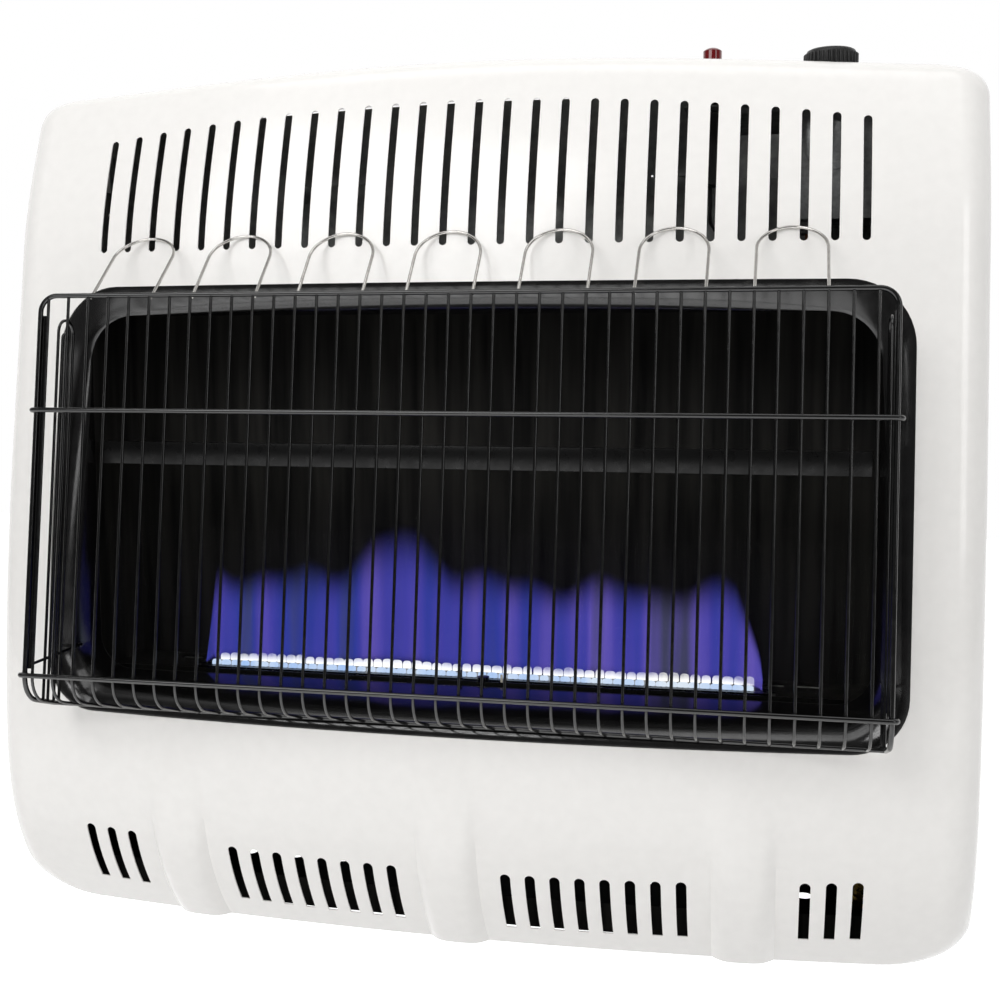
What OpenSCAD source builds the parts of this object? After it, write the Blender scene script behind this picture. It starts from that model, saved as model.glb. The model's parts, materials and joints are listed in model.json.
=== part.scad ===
/* [Casing] */
// Width of the casing
casing_w = 730.5; // [700:0.5:780]
// Height of the casing at its middle
casing_h = 647.5; // [620:0.5:700]
// Height of the casing's top above the wall bracket's screws
top_z = 87.3; // [80:0.1:100]
// Thickness of the casing's sheet
casing_t = 1; // [0.8:0.1:1.5]
// Depth of the front at the top edge, from the wall
top_depth = 158; // [150:1:164]
// Drop from the top to the slots' lower ends, where the tilted top meets the long front
shoulder_drop = 136.2; // [125:0.1:140]
// Depth of the front there
shoulder_depth = 197.6; // [194:0.1:204]
// Height of the chin above the bottom edge
chin_rise = 138; // [125:1:150]
// Depth of the front at the chin
chin_depth = 243.5; // [236:0.5:250]
// Depth of the front at the bottom edge
bottom_depth = 193; // [186:1:205]
// How far the front bows back at the top, at bow_at from the middle
bow_top = 21; // [12:0.5:24]
// How far it bows back at the bottom
bow_bottom = 17.5; // [10:0.5:22]
// Fall of the top edge, at bow_at from the middle
top_arch = 10; // [4:0.5:14]
// How much the arch eases towards the corners
arch_ease = 3.8; // [0:0.1:5]
// Distance from the middle at which the bow and the arch are measured
bow_at = 300; // [290:1:320]
// Radius between the front and the sides
edge_r = 27.5; // [18:0.5:32]
// Radius of the front outline's top corners
top_corner_r = 21.5; // [16:0.5:40]
// Radius of the front outline's bottom corners
bottom_corner_r = 39; // [30:0.5:50]
// Radius between the front and the top
top_edge_r = 11.5; // [8:0.5:14]
// Gap between the wall and the casing's back edge
back_gap = 4; // [3:0.5:6]

/* [Flutes] */
// Distance between neighbouring flutes
flute_pitch = 208; // [200:1:214]
// Width of a flute
flute_w = 44; // [36:1:50]
// How far a flute stands out at the bottom edge
flute_out = 8.5; // [5:0.5:12]

/* [Upper slots] */
// Number of upper slots
slot_count = 28; // [24:1:29]
// Distance between upper slots
slot_pitch = 20.8; // [19:0.1:21.5]
// Width of an upper slot
slot_w = 5.8; // [4.5:0.1:7]
// Length of the middle slots
slot_l = 105; // [90:1:108]
// How much shorter a slot is at bow_at from the middle
slot_fall = 21; // [14:1:24]

/* [Lower slots] */
// Slots in each of the two middle groups
low_count_mid = 8; // [6:1:8]
// Slots in each of the two outer groups
low_count_side = 3; // [2:1:3]
// Distance between lower slots
low_pitch = 17.7; // [15:0.1:18.2]
// Width of a lower slot
low_w = 7.4; // [5:0.1:8.5]
// Height of a lower slot
low_l = 49.7; // [40:0.1:54]
// Height of the lower slots' ends above the bottom edge
low_rise = 18; // [14:0.5:22]
// How much higher the lower slots are at bow_at from the middle
low_arch = 10; // [0:0.5:14]
// Distance from an outer flute to the middle of the outer group
low_side_offset = 59.6; // [54:0.2:64]

/* [Opening and surround] */
// Width of the opening in the casing
opening_w = 630; // [610:1:634]
// Drop from the top to the opening
opening_drop = 162; // [157:0.5:168]
// Height of the opening
opening_h = 318; // [306:1:322]
// Radius of the opening's corners
opening_r = 46; // [32:1:52]
// Radius of the opening's lower corners
opening_low_r = 38; // [30:1:48]
// Thickness of the surround's sheet
surround_t = 1.2; // [0.8:0.1:1.6]
// Width of the surround's flange behind the casing
surround_flange = 9; // [6:0.5:11]
// How far the surround narrows on each side
surround_in = 22; // [18:0.5:25]
// Distance from the wall to the surround's back edge, where the glass frame starts
face_depth = 180; // [176:0.5:181]

/* [Firebox and glass] */
// Depth of the firebox
firebox_l = 94; // [86:1:100]
// Thickness of the firebox sheet
firebox_t = 1; // [0.8:0.1:1.6]
// Thickness of the glass
glass_t = 4; // [3:0.5:5]
// Height of the glass
glass_h = 183; // [170:1:200]
// Height of the rail on the glass
rail_h = 17; // [12:0.5:20]
// How far the firebox's front frame laps over the glass
glass_lap = 6; // [4:0.5:8]

/* [Burner and pilot] */
// Length of the burner
burner_l = 446; // [420:1:460]
// Depth of the burner
burner_w = 30; // [26:1:34]
// Height of the burner
burner_h = 38; // [34:1:42]
// Distance from the firebox's front to the burner's middle
burner_back = 35; // [32:1:40]
// How far the burner stands up above the firebox floor
burner_rise = 8.5; // [7:0.5:12]
// Width of a burner port
port_w = 2; // [1.6:0.1:2.4]
// Distance between burner ports
port_pitch = 8; // [7:0.5:10]
// Diameter of the mixer tube
mixer_d = 20; // [18:0.5:21]

/* [Guard] */
// Diameter of the guard's frame and bars
bar_d = 3.6; // [3:0.1:4.4]
// Diameter of the guard's wires
wire_d = 2.2; // [1.8:0.1:2.8]
// Number of vertical wires
wire_count = 38; // [34:1:38]
// Distance between vertical wires
wire_pitch = 15.65; // [15.2:0.05:15.7]
// Offset of the wires and loops from the middle of the guard, from side to side
wire_shift = -3; // [-3:0.5:2]
// How far the top bar stands out from the casing
guard_out_top = 37; // [32:1:42]
// How far the bottom bar stands out from the casing
guard_out_bottom = 43; // [38:1:48]
// Drop from the opening's top edge to the top bar
top_bar_drop = 9; // [6:0.5:20]
// Drop from the top bar to the middle bar
mid_bar_drop = 82; // [60:0.5:90]
// Height of the bottom bar above the opening's bottom edge
bottom_bar_rise = 39; // [34:0.5:50]
// Height of the loops above the top bar
loop_rise = 44; // [40:1:52]
// Number of stand-off loops
loop_count = 7; // [5:1:7]

/* [Controls] */
// Distance from the middle to the control knob
knob_x = 256; // [246:1:262]
// Distance from the wall to the knob and the button
control_y = 115; // [110:1:118]
// Diameter of the knob
knob_d = 38.5; // [34:0.5:42]
// Height of the knob
knob_h = 15.5; // [14:0.5:20]
// How deep the knob sits in its hole in the casing
knob_sink = 4.2; // [3:0.1:6]
// Travel of the knob when pushed
knob_travel = 3; // [2:0.1:3.5]
// Diameter of the valve's stem
stem_d = 8; // [6:0.5:9]
// Distance from the middle to the igniter button
button_x = 172; // [166:1:180]
// Diameter of the igniter button
button_d = 13.5; // [12:0.5:15]
// Height of the button's dome above the casing
button_rise = 13; // [11:0.5:18]
// Travel of the button
button_travel = 6; // [4:0.5:7]

/* [Wall fixing and gas inlet] */
// Distance between the bracket's screw holes, across
bracket_hole_x = 400; // [380:1:420]
// Distance between the bracket's screw holes, up and down
bracket_hole_z = 24; // [18:1:26]
// Diameter of the bracket's screw holes
bracket_hole_d = 5.5; // [4.5:0.1:6.5]
// Diameter of the gas inlet's bore
inlet_bore_d = 14.8; // [12:0.1:16]
// Length of the gas inlet's bore
inlet_bore_l = 14; // [12:0.5:15]

/* [Hidden] */

// Gap between pieces that are seated on each other
seat = 0.3;
// How deep welded wires sit into each other
weld = 0.25;
// Sides of a round that matters
fine = 48;

bottom_z = top_z - casing_h;
chin_drop = casing_h - chin_rise;

// Middle of the front, top to bottom: drop from the top, depth from the wall, slope of depth against drop
front_profile = [[0, top_depth, 0.36], [shoulder_drop, shoulder_depth, 0.15], [chin_drop, chin_depth, 0],
    [casing_h, bottom_depth, -0.9]];

// ---- Curves that the pieces share ----

function mix(a, b, t) = a + (b - a) * t;
function smooth(t) = let (c = min(1, max(0, t))) c * c * (3 - 2 * c);
function steps(a, b, n) = [for (i = [0:n - 1]) mix(a, b, i / n)];

// Smooth curve through a and b with their slopes
function hermite(a, b, d) = let (h = b[0] - a[0], t = (d - a[0]) / h, t2 = t * t, t3 = t2 * t)
    (2 * t3 - 3 * t2 + 1) * a[1] + (t3 - 2 * t2 + t) * h * a[2]
    + (3 * t2 - 2 * t3) * b[1] + (t3 - t2) * h * b[2];
function front_depth(d) = let (f = front_profile, i = d < f[1][0] ? 0 : d < f[2][0] ? 1 : 2) hermite(f[i], f[i + 1], d);
function bow(x, d) = mix(bow_top, bow_bottom, d / casing_h) * x * x / bow_at / bow_at;
function arch(x) = let (s = x * x / bow_at / bow_at) top_arch * s - arch_ease * s * (s - 1);
function top_at(x) = top_z - arch(x);
// Place of the casing's outer front face
function front_y(x, z) = bow(x, top_z - z) - front_depth(top_z - z);
// The same with the flutes on it
function skin_y(x, z) = front_y(x, z) - flute(x, top_z - z);
// Place of the nuts' seats behind the surround's flange
function nut_y(x, z) = max(front_y(x, z + nut_d / 2), front_y(x, z - nut_d / 2)) + casing_t + sheet_gap + surround_t + seat;

// ---- Small shapes ----

module rod(d, l, bore = 0) {
    difference() {
        cylinder(d = d, h = l, $fn = fine);
        if (bore > 0) translate([0, 0, -1]) cylinder(d = bore, h = l + 2, $fn = fine);
    }
}

// A box from its low corner to its high corner
module block(a, b) {
    translate(a) cube(b - a);
}

// A rectangle with rounded corners, the lower ones of their own radius where it is given
module rounded_rect(x0, x1, z0, z1, r, low_r) {
    q = is_undef(low_r) ? r : low_r;
    union() {
        translate([x0, z0 + q]) square([x1 - x0, z1 - z0 - q - r]);
        translate([x0 + q, z0]) square([x1 - x0 - 2 * q, q + 1]);
        translate([x0 + r, z1 - r - 1]) square([x1 - x0 - 2 * r, r + 1]);
        for (x = [x0 + q, x1 - q]) translate([x, z0 + q]) circle(r = q, $fn = fine);
        for (x = [x0 + r, x1 - r]) translate([x, z1 - r]) circle(r = r, $fn = fine);
    }
}

// A flat outline in X and Z, made solid from y0 to y1
module upright(y0, y1) {
    translate([0, y1, 0]) rotate([90, 0, 0]) linear_extrude(y1 - y0) children();
}

// Frame whose Z runs along w and whose X runs along u
module aim(p, u, v, w) {
    multmatrix([[u[0], v[0], w[0], p[0]], [u[1], v[1], w[1], p[1]], [u[2], v[2], w[2], p[2]], [0, 0, 0, 1]]) children();
}
function unit(v) = v / norm(v);
function square_to(w) = unit(abs(w[2]) < 0.8 ? cross(w, [0, 0, 1]) : cross(w, [1, 0, 0]));
function turn(a, b, c) = let (k = unit(b - a) * unit(c - b)) acos(min(1, max(-1, k)));
function radius(r, i) = is_list(r) ? r[i - 1] : r;
function trim(p, i, r) = i == 0 || i == len(p) - 1 ? 0 : radius(r, i) * tan(turn(p[i - 1], p[i], p[i + 1]) / 2);

function inward(p, i) = let (w = unit(p[i + 1] - p[i])) i + 2 > len(p) - 1 ? square_to(w)
    : let (next = unit(p[i + 2] - p[i + 1])) unit(next - w * (next * w));

// A round wire or tube along straight runs, with a bend at each inner point; r is one radius or a list.
// Each run is placed from the end of the one before it.
module bent(p, d, r) {
    w = unit(p[1] - p[0]);
    u = inward(p, 0);
    aim(p[0], u, cross(w, u), w) trail(p, d, r, 0, w, u);
}

// Rest of the wire from run i on: w is the run's direction, u the way the next bend turns
module trail(p, d, r, i, w, u) {
    l = norm(p[i + 1] - p[i]) - trim(p, i, r) - trim(p, i + 1, r);
    union() {
        if (l > 0.001) cylinder(d = d, h = l, $fn = 24);
        if (i < len(p) - 2) {
            a = turn(p[i], p[i + 1], p[i + 2]);
            q = radius(r, i + 1);
            across = u * cos(a) - w * sin(a);
            w2 = w * cos(a) + u * sin(a);
            u2 = inward(p, i + 1);
            twist = atan2(u2 * cross(w, u), u2 * across);
            translate([q, 0, l]) {
                multmatrix([[-1, 0, 0, 0], [0, 0, 1, 0], [0, 1, 0, 0], [0, 0, 0, 1]])
                    rotate_extrude(angle = a, $fn = fine) translate([q, 0]) circle(d = d, $fn = 24);
                rotate([0, a, 0]) translate([-q, 0, 0]) rotate([0, 0, twist]) trail(p, d, r, i + 1, w2, u2);
            }
        }
    }
}

// Middle line of a bent wire: points with the direction there, with k steps in each bend
function arc_line(p, i, r, k) = let (w = unit(p[i] - p[i - 1]), u = inward(p, i - 1), a = turn(p[i - 1], p[i], p[i + 1]),
        q = radius(r, i), c = p[i] - w * trim(p, i, r) + u * q)
    [for (j = [0:k]) let (b = a * j / k) [c - u * q * cos(b) + w * q * sin(b), w * cos(b) + u * sin(b)]];
function line_of(p, r, k) = let (n = len(p) - 1) concat([[p[0], unit(p[1] - p[0])]],
    [for (i = [1:1:n - 1]) each arc_line(p, i, r, k)], [[p[n], unit(p[n] - p[n - 1])]]);
// Side direction carried along a line without twisting
function carried(line, u, i = 0) = i == len(line) ? []
    : let (w = line[i][1], v = unit(u - w * (u * w))) concat([v], carried(line, v, i + 1));

// The same wire drawn with flats, for bends that aren't square
module wire(p, d, r, k = 4, sides = 8) {
    line = line_of(p, r, k);
    u = carried(line, square_to(line[0][1]));
    n = len(line);
    polyhedron(
        [for (i = [0:n - 1]) for (j = [0:sides - 1]) let (b = 360 * (j + 0.5) / sides)
            line[i][0] + (u[i] * cos(b) + cross(line[i][1], u[i]) * sin(b)) * d / 2],
        concat([[for (j = [0:sides - 1]) j]],
            [for (i = [0:n - 2]) for (j = [0:sides - 1]) let (m = (j + 1) % sides)
                each quad(i * sides + m, i * sides + j, (i + 1) * sides + j, (i + 1) * sides + m)],
            [[for (j = [sides - 1:-1:0]) (n - 1) * sides + j]]));
}

// ---- Casing ----

flutes = [-flute_pitch, 0, flute_pitch];
flute_top = chin_drop - 20;
function flute(x, d) = flute_out * smooth((d - flute_top) / (casing_h - flute_top - 30))
    * max([for (c = flutes) let (u = abs(x - c) / (flute_w / 2)) u < 1 ? cos(90 * u * u) : 0]);
function inset(d, r) = d >= r ? 0 : r - sqrt(r * r - (r - d) * (r - d));

arc_steps = 5;
levels = concat(
    [for (i = [0:3]) top_edge_r * (1 - cos(22.5 * i))],
    steps(top_edge_r, top_corner_r, 4),
    steps(top_corner_r, flute_top, 9),
    steps(flute_top, casing_h - bottom_corner_r, 7),
    [for (i = [0:6]) casing_h - bottom_corner_r * (1 - sin(15 * i))]);
flute_marks = [-1, -0.66, -0.33, 0, 0.33, 0.66, 1];
last_mark = flute_pitch + flute_w / 2;
front_marks = concat(
    [for (c = flutes) each concat([for (m = flute_marks) c + m * flute_w / 2],
        c < flute_pitch ? [for (k = [1:2]) c + flute_w / 2 + (flute_pitch - flute_w) * k / 3] : [])]);

// One skin of the casing at a drop d, pulled in by t, from the left back edge to the right back edge
function ring(d, t) = let (
        narrow = inset(d, top_corner_r) + inset(casing_h - d, bottom_corner_r),
        half = casing_w / 2 - t - narrow,
        r = edge_r - t,
        flat = half - r,
        depth = front_depth(d) - t - inset(d, top_edge_r),
        fall = smooth((shoulder_drop + 10 - d) / (shoulder_drop + 10)),
        z = top_z - d - t * (1 - d / casing_h),
        outer = [for (k = [1:3]) mix(last_mark, flat, k / 4)],
        front = concat([for (k = [2:-1:0]) -outer[k]], front_marks, outer),
        corner = [for (i = [0:arc_steps]) let (a = 90 * i / arc_steps)
            [flat + r * cos(a), bow(flat, d) - depth + r - r * sin(a)]])
    [for (p = concat([[-half, -back_gap]],
            [for (c = corner) [-c[0], c[1]]],
            [for (x = front) [x, bow(x, d) - depth - flute(x, d)]],
            [for (i = [arc_steps:-1:0]) corner[i]],
            [[half, -back_gap]]))
        [p[0], p[1], z - arch(p[0]) * fall]];

function quad(a, b, c, d) = [[a, b, d], [b, c, d]];

module casing_shell() {
    outside = [for (d = levels) ring(d, 0)];
    inside = [for (d = levels) ring(d, casing_t)];
    rows = len(levels);
    row = len(outside[0]);
    skin = rows * row;
    // The top runs straight back from each point of the top ring to the back edge
    back_outside = [for (i = [2:row - 3]) [outside[0][i][0], -back_gap, outside[0][i][2]]];
    back_inside = [for (i = [2:row - 3]) [inside[0][i][0], -back_gap, inside[0][i][2]]];
    back = len(back_outside);
    function o(k, i) = k * row + i;
    function n(k, i) = skin + o(k, i);
    function bo(i) = i == 1 ? 0 : i == row - 2 ? row - 1 : 2 * skin + i - 2;
    function bn(i) = i == 1 ? skin : i == row - 2 ? skin + row - 1 : 2 * skin + back + i - 2;
    polyhedron(
        concat([for (r = outside) each r], [for (r = inside) each r], back_outside, back_inside),
        concat(
            [for (k = [0:rows - 2]) for (i = [0:row - 2]) each concat(
                quad(o(k, i), o(k, i + 1), o(k + 1, i + 1), o(k + 1, i)),
                quad(n(k, i), n(k + 1, i), n(k + 1, i + 1), n(k, i + 1)))],
            [for (k = [0:rows - 2]) each concat(
                quad(o(k, 0), o(k + 1, 0), n(k + 1, 0), n(k, 0)),
                quad(n(k, row - 1), n(k + 1, row - 1), o(k + 1, row - 1), o(k, row - 1)))],
            [for (i = [0:row - 2]) each quad(o(rows - 1, i), o(rows - 1, i + 1), n(rows - 1, i + 1), n(rows - 1, i))],
            [for (i = [1:row - 3]) each i == 1 ? concat([[o(0, 1), bo(1), bo(2)], [o(0, 1), bo(2), o(0, 2)]],
                    [[n(0, 1), bn(2), bn(1)], [n(0, 1), n(0, 2), bn(2)]])
                : concat(quad(o(0, i + 1), o(0, i), bo(i), bo(i + 1)), quad(n(0, i), n(0, i + 1), bn(i + 1), bn(i)))],
            [for (i = [1:row - 3]) each quad(bo(i + 1), bo(i), bn(i), bn(i + 1))]));
}

opening_x = opening_w / 2;
opening_top = top_z - opening_drop;
opening_bottom = opening_top - opening_h;
knob_top_z = top_at(knob_x);
button_top_z = top_at(button_x);
igniter_neck_d = button_d + 1.7;
screw_d = 3.6;
screw_drops = [90, casing_h / 2, casing_h - 90];
screw_back = 14;
stud_d = 3;
nut_d = 8;
nut_h = 2.4;
stud_xs = [-200, 0, 200];
stud_zs = [opening_top + 4.5, opening_bottom - 4.5];
sheet_gap = 0.5;

module slot(w, l, round_bottom) {
    union() {
        translate([0, l - w / 2]) circle(d = w, $fn = 24);
        if (round_bottom) {
            translate([0, w / 2]) circle(d = w, $fn = 24);
            translate([-w / 2, w / 2]) square([w, l - w]);
        } else translate([-w / 2, 0]) square([w, l - w / 2]);
    }
}

function low_xs() = concat(
    [for (s = [-1, 1]) for (i = [0:low_count_mid - 1]) s * flute_pitch / 2 + (i - (low_count_mid - 1) / 2) * low_pitch],
    [for (s = [-1, 1]) for (i = [0:low_count_side - 1])
        s * (flute_pitch + low_side_offset) + (i - (low_count_side - 1) / 2) * low_pitch]);

module casing() {
    reach = chin_depth + flute_out + 5;
    color("whitesmoke") difference() {
        union() {
            casing_shell();
            // Studs that carry the surround
            for (x = stud_xs) for (z = stud_zs) translate([x, skin_y(x, z) + casing_t / 2, z]) rotate([-90, 0, 0])
                cylinder(d = stud_d, h = nut_y(x, z) + nut_h + 1 - skin_y(x, z) - casing_t / 2, $fn = 24);
        }
        for (i = [0:slot_count - 1]) {
            x = (i - (slot_count - 1) / 2) * slot_pitch;
            upright(-reach, -top_depth / 2) translate([x, top_z - shoulder_drop])
                slot(slot_w, slot_l - slot_fall * x * x / bow_at / bow_at, true);
        }
        for (x = low_xs()) upright(-reach, -bottom_depth / 2)
            translate([x, bottom_z + low_rise + low_arch * x * x / bow_at / bow_at]) slot(low_w, low_l, false);
        upright(-reach, -top_depth / 2)
            rounded_rect(-opening_x, opening_x, opening_bottom, opening_top, opening_r, opening_low_r);
        translate([knob_x, -control_y, knob_top_z - 20]) rod(knob_d + 3, 40);
        translate([button_x, -control_y, button_top_z - 20]) rod(igniter_neck_d + 1, 40);
        for (s = [-1, 1]) for (d = screw_drops)
            translate([s * (casing_w / 2 - 10), -screw_back, top_z - d]) rotate([0, s * 90, 0]) rod(screw_d + 0.6, 20);
    }
}

module casing_screws() {
    color("silver") for (s = [-1, 1]) for (d = screw_drops)
        translate([s * (casing_w / 2), -screw_back, top_z - d]) rotate([0, s * 90, 0]) {
            translate([0, 0, seat]) rod(8, 2.2);
            translate([0, 0, -8]) rod(screw_d, 8 + seat);
        }
}

// ---- Back panel, bracket and base tray ----

panel_t = 1;
panel_y = -8;
panel_x = casing_w / 2 - casing_t - seat;
panel_top = top_z + 10;
panel_bottom = bottom_z + 8;
tab_x = 150;
tab_w = 60;
bracket_t = 1.5;
bracket_half = bracket_hole_x / 2 + 20;
bracket_top = 20;
lip_h = 12;
tab_l = -panel_y + panel_t + 5;

module wall_bracket() {
    color("dimgray") difference() {
        union() {
            block([-bracket_half, -bracket_t, -bracket_top], [bracket_half, 0, bracket_top]);
            for (x = [-tab_x, tab_x]) {
                block([x - tab_w / 2, -tab_l, bracket_top - bracket_t], [x + tab_w / 2, 0, bracket_top]);
                block([x - tab_w / 2, -tab_l, bracket_top - bracket_t], [x + tab_w / 2, bracket_t - tab_l, bracket_top + lip_h]);
            }
        }
        for (x = [-1, 1]) for (z = [-1, 1])
            translate([x * bracket_hole_x / 2, 1, z * bracket_hole_z / 2]) rotate([90, 0, 0]) rod(bracket_hole_d, 5);
    }
}

spacer_x = 260;
spacer_z = bottom_z + 60;
module wall_spacers() {
    color("black") for (s = [-1, 1]) translate([s * spacer_x, 0, spacer_z]) rotate([90, 0, 0]) {
        rod(18, -panel_y - seat);
        rod(7, -panel_y + panel_t + 3);
    }
}

top_corner_x = top_corner_r - casing_w / 2;
function panel_edge(x) = let (past = max(0, abs(x) + top_corner_x), r = top_corner_r - casing_t - 2)
    top_at(x) - casing_t - 2 - r + sqrt(max(0, r * r - past * past));
module back_panel() {
    flange = 20;
    color("dimgray") difference() {
        union() {
            upright(panel_y - panel_t, panel_y)
                rounded_rect(-panel_x, panel_x, panel_bottom, panel_top, bottom_corner_r - 6);
            for (s = [-1, 1]) block([s > 0 ? panel_x - panel_t : -panel_x, panel_y - flange, bottom_z + 60],
                [s > 0 ? panel_x : panel_t - panel_x, panel_y, top_z - 70]);
        }
        // The top edge follows the casing's arch and its corners
        upright(panel_y - 2, panel_y + 1) polygon(concat(
            [for (x = concat(steps(-panel_x - 2, top_corner_x, 7), steps(top_corner_x, -top_corner_x, 24),
                steps(-top_corner_x, panel_x + 2, 7), [panel_x + 2])) [x, panel_edge(x)]],
            [[panel_x + 2, top_z + 30], [-panel_x - 2, top_z + 30]]));
        for (x = [-tab_x, tab_x]) block([x - tab_w / 2 - 2, panel_y - 2, bracket_top - 16],
            [x + tab_w / 2 + 2, panel_y + 1, bracket_top + seat]);
        for (s = [-1, 1]) {
            for (d = screw_drops) translate([s * (casing_w / 2 - 10), -screw_back, top_z - d])
                rotate([0, s * 90, 0]) rod(screw_d + 0.2, 20);
            translate([s * spacer_x, 0, spacer_z]) rotate([90, 0, 0]) rod(7.6, 20);
        }
        // Row of vents low down, where cool air comes in
        for (i = [-7:7]) upright(panel_y - 2, panel_y + 1) translate([i * 24, bottom_z + 24]) slot(8, 26, true);
    }
}

tray_t = 1;
tray_z = bottom_z + 12;
tray_x = casing_w / 2 - casing_t - inset(12, bottom_corner_r) - 4;
function tray_front(x, in) = bow(x, casing_h) - bottom_depth + casing_t + 2 + in;
inlet_x = opening_x - surround_in + 7;
inlet_y = -95;
inlet_hex = 27;
// Outline of the tray, pulled in by a distance; its front follows the casing's bow
module tray_outline(in) {
    back = panel_y - panel_t - seat - in;
    x1 = tray_x - in;
    polygon(concat([[x1, tray_front(x1, in)], [x1, back], [-x1, back]],
        [for (x = steps(-x1, x1, 12)) [x, tray_front(x, in)]]));
}
module base_tray() {
    rim = 22;
    color("dimgray") difference() {
        translate([0, 0, tray_z]) linear_extrude(rim) tray_outline(0);
        translate([0, 0, tray_z + tray_t]) linear_extrude(rim) tray_outline(tray_t);
        translate([inlet_x, inlet_y, tray_z - 1]) rod(inlet_bore_d + 8.6, 5);
        for (i = [-6:6]) translate([i * 42, -90, tray_z - 1]) rod(14, 5);
    }
}

// ---- Surround and firebox ----

inner_r = opening_r - 12;
inner_low_r = opening_low_r - 12;
inner_x = opening_x - surround_in;
inner_top = opening_top - surround_in;
inner_bottom = opening_bottom + surround_in;

// Points round a rounded rectangle whose lower corners have radius q, with its straight sides split
// so that they follow the casing
function outline(hx, z0, z1, r, q) = let (across = hx - r, low_across = hx - q)
    concat(
        [for (k = steps(-low_across, low_across, 8)) [k, z0]],
        [for (a = steps(-90, 0, 4)) [low_across + q * cos(a), z0 + q + q * sin(a)]],
        [for (k = steps(z0 + q, z1 - r, 4)) [hx, k]],
        [for (a = steps(0, 90, 4)) [across + r * cos(a), z1 - r + r * sin(a)]],
        [for (k = steps(across, -across, 8)) [k, z1]],
        [for (a = steps(90, 180, 4)) [-across + r * cos(a), z1 - r + r * sin(a)]],
        [for (k = steps(z1 - r, z0 + q, 4)) [-hx, k]],
        [for (a = steps(180, 270, 4)) [-low_across + q * cos(a), z0 + q + q * sin(a)]]);

// Loop of the surround: f runs from 0 at the casing to 1 at the firebox, g does so in depth;
// side moves the loop outwards, back moves it towards the wall
function surround_loop(f, g, side, back) = let (
        clear = 0.4,
        a = outline(opening_x - clear + side, opening_bottom + clear - side, opening_top - clear + side,
            opening_r + side, opening_low_r + side),
        b = outline(inner_x + side, inner_bottom - side, inner_top + side, inner_r + side, inner_low_r + side))
    [for (i = [0:len(a) - 1]) let (p = mix(a[i], b[i], f))
        [p[0], mix(front_y(a[i][0], a[i][1]) + casing_t + sheet_gap, -face_depth, g) + back, p[1]]];
throat = 5;
function surround_side(thick) = concat([surround_loop(0, 0, surround_flange, thick)],
    [for (k = [0:throat]) let (a = 90 * k / throat)
        surround_loop(sin(a), 1 - cos(a), thick * sin(a), thick * cos(a))]);

module surround() {
    shown = surround_side(0);
    hidden = surround_side(surround_t);
    loops = concat(shown, [for (k = [throat + 1:-1:0]) hidden[k]]);
    n = len(loops[0]);
    m = len(loops);
    color("black") difference() {
        polyhedron([for (l = loops) each l],
            [for (k = [0:m - 1]) for (i = [0:n - 1]) let (q = (k + 1) % m, j = (i + 1) % n)
                each quad(q * n + i, q * n + j, k * n + j, k * n + i)]);
        for (x = stud_xs) for (z = stud_zs) translate([x, 0, z]) rotate([90, 0, 0]) rod(stud_d + 0.6, chin_depth + 20);
        for (s = [-1, 1]) translate([s * tie_x, 0, tie_z]) rotate([90, 0, 0]) rod(tie_d + 0.6, chin_depth + 20);
    }
}

module surround_nuts() {
    color("dimgray") for (x = stud_xs) for (z = stud_zs)
        translate([x, nut_y(x, z), z]) rotate([-90, 0, 0]) rod(nut_d, nut_h, stud_d + 0.1);
}

frame_y = -face_depth + seat;
fire_x = inner_x + 12;
fire_back = frame_y + firebox_l;
floor_z = inner_bottom - 8;
fire_top = inner_top + 6;
burner_y = -face_depth + burner_back;
burner_top = floor_z + burner_rise;
burner_front = burner_y - burner_w / 2;
burner_rear = burner_y + burner_w / 2;

module firebox() {
    t = firebox_t;
    color("black") difference() {
        union() {
            // Front frame round the opening
            upright(frame_y, frame_y + t) rounded_rect(-fire_x - 6, fire_x + 6, floor_z - 6, fire_top, 5);
            block([-fire_x, frame_y, floor_z], [fire_x, fire_back, floor_z + t]);
            block([-fire_x, fire_back - t, floor_z], [fire_x, fire_back, fire_top]);
            for (s = [0, 1]) block([s ? fire_x - t : -fire_x, frame_y, floor_z], [s ? fire_x : t - fire_x, fire_back, fire_top]);
        }
        upright(frame_y - 1, frame_y + t + 1) rounded_rect(-inner_x, inner_x, inner_bottom, inner_top, inner_r, inner_low_r);
        block([-burner_l / 2 - 4, burner_front - 6, floor_z - 1], [burner_l / 2 + 4, burner_rear + 6, floor_z + t + 1]);
        // Notch for the pilot, then air slots behind the burner
        block([pilot_x - 28, pilot_y - 6, floor_z - 1], [pilot_x + 24, burner_front, floor_z + t + 1]);
        for (i = [-9:9]) block([i * 28 - 9, fire_back - 20, floor_z - 1], [i * 28 + 9, fire_back - 12, floor_z + t + 1]);
    }
}

// A profile in Y and Z, made solid from x0 to x1
module upright_x(x0, x1) {
    translate([x0, 0, 0]) rotate([90, 0, 90]) linear_extrude(x1 - x0) children();
}

hood_front = 8 - top_depth;
module hood() {
    z = fire_top + seat;
    t = 1;
    color("black") upright_x(-fire_x, fire_x) polygon([[fire_back + 8, z], [fire_back + 8, z + t],
        [fire_back - 6, z + t], [hood_front, z + 22 + t], [hood_front - 8, z + 22 + t], [hood_front - 8, z + 22],
        [hood_front, z + 22],
        [fire_back - 6, z]]);
}

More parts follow.
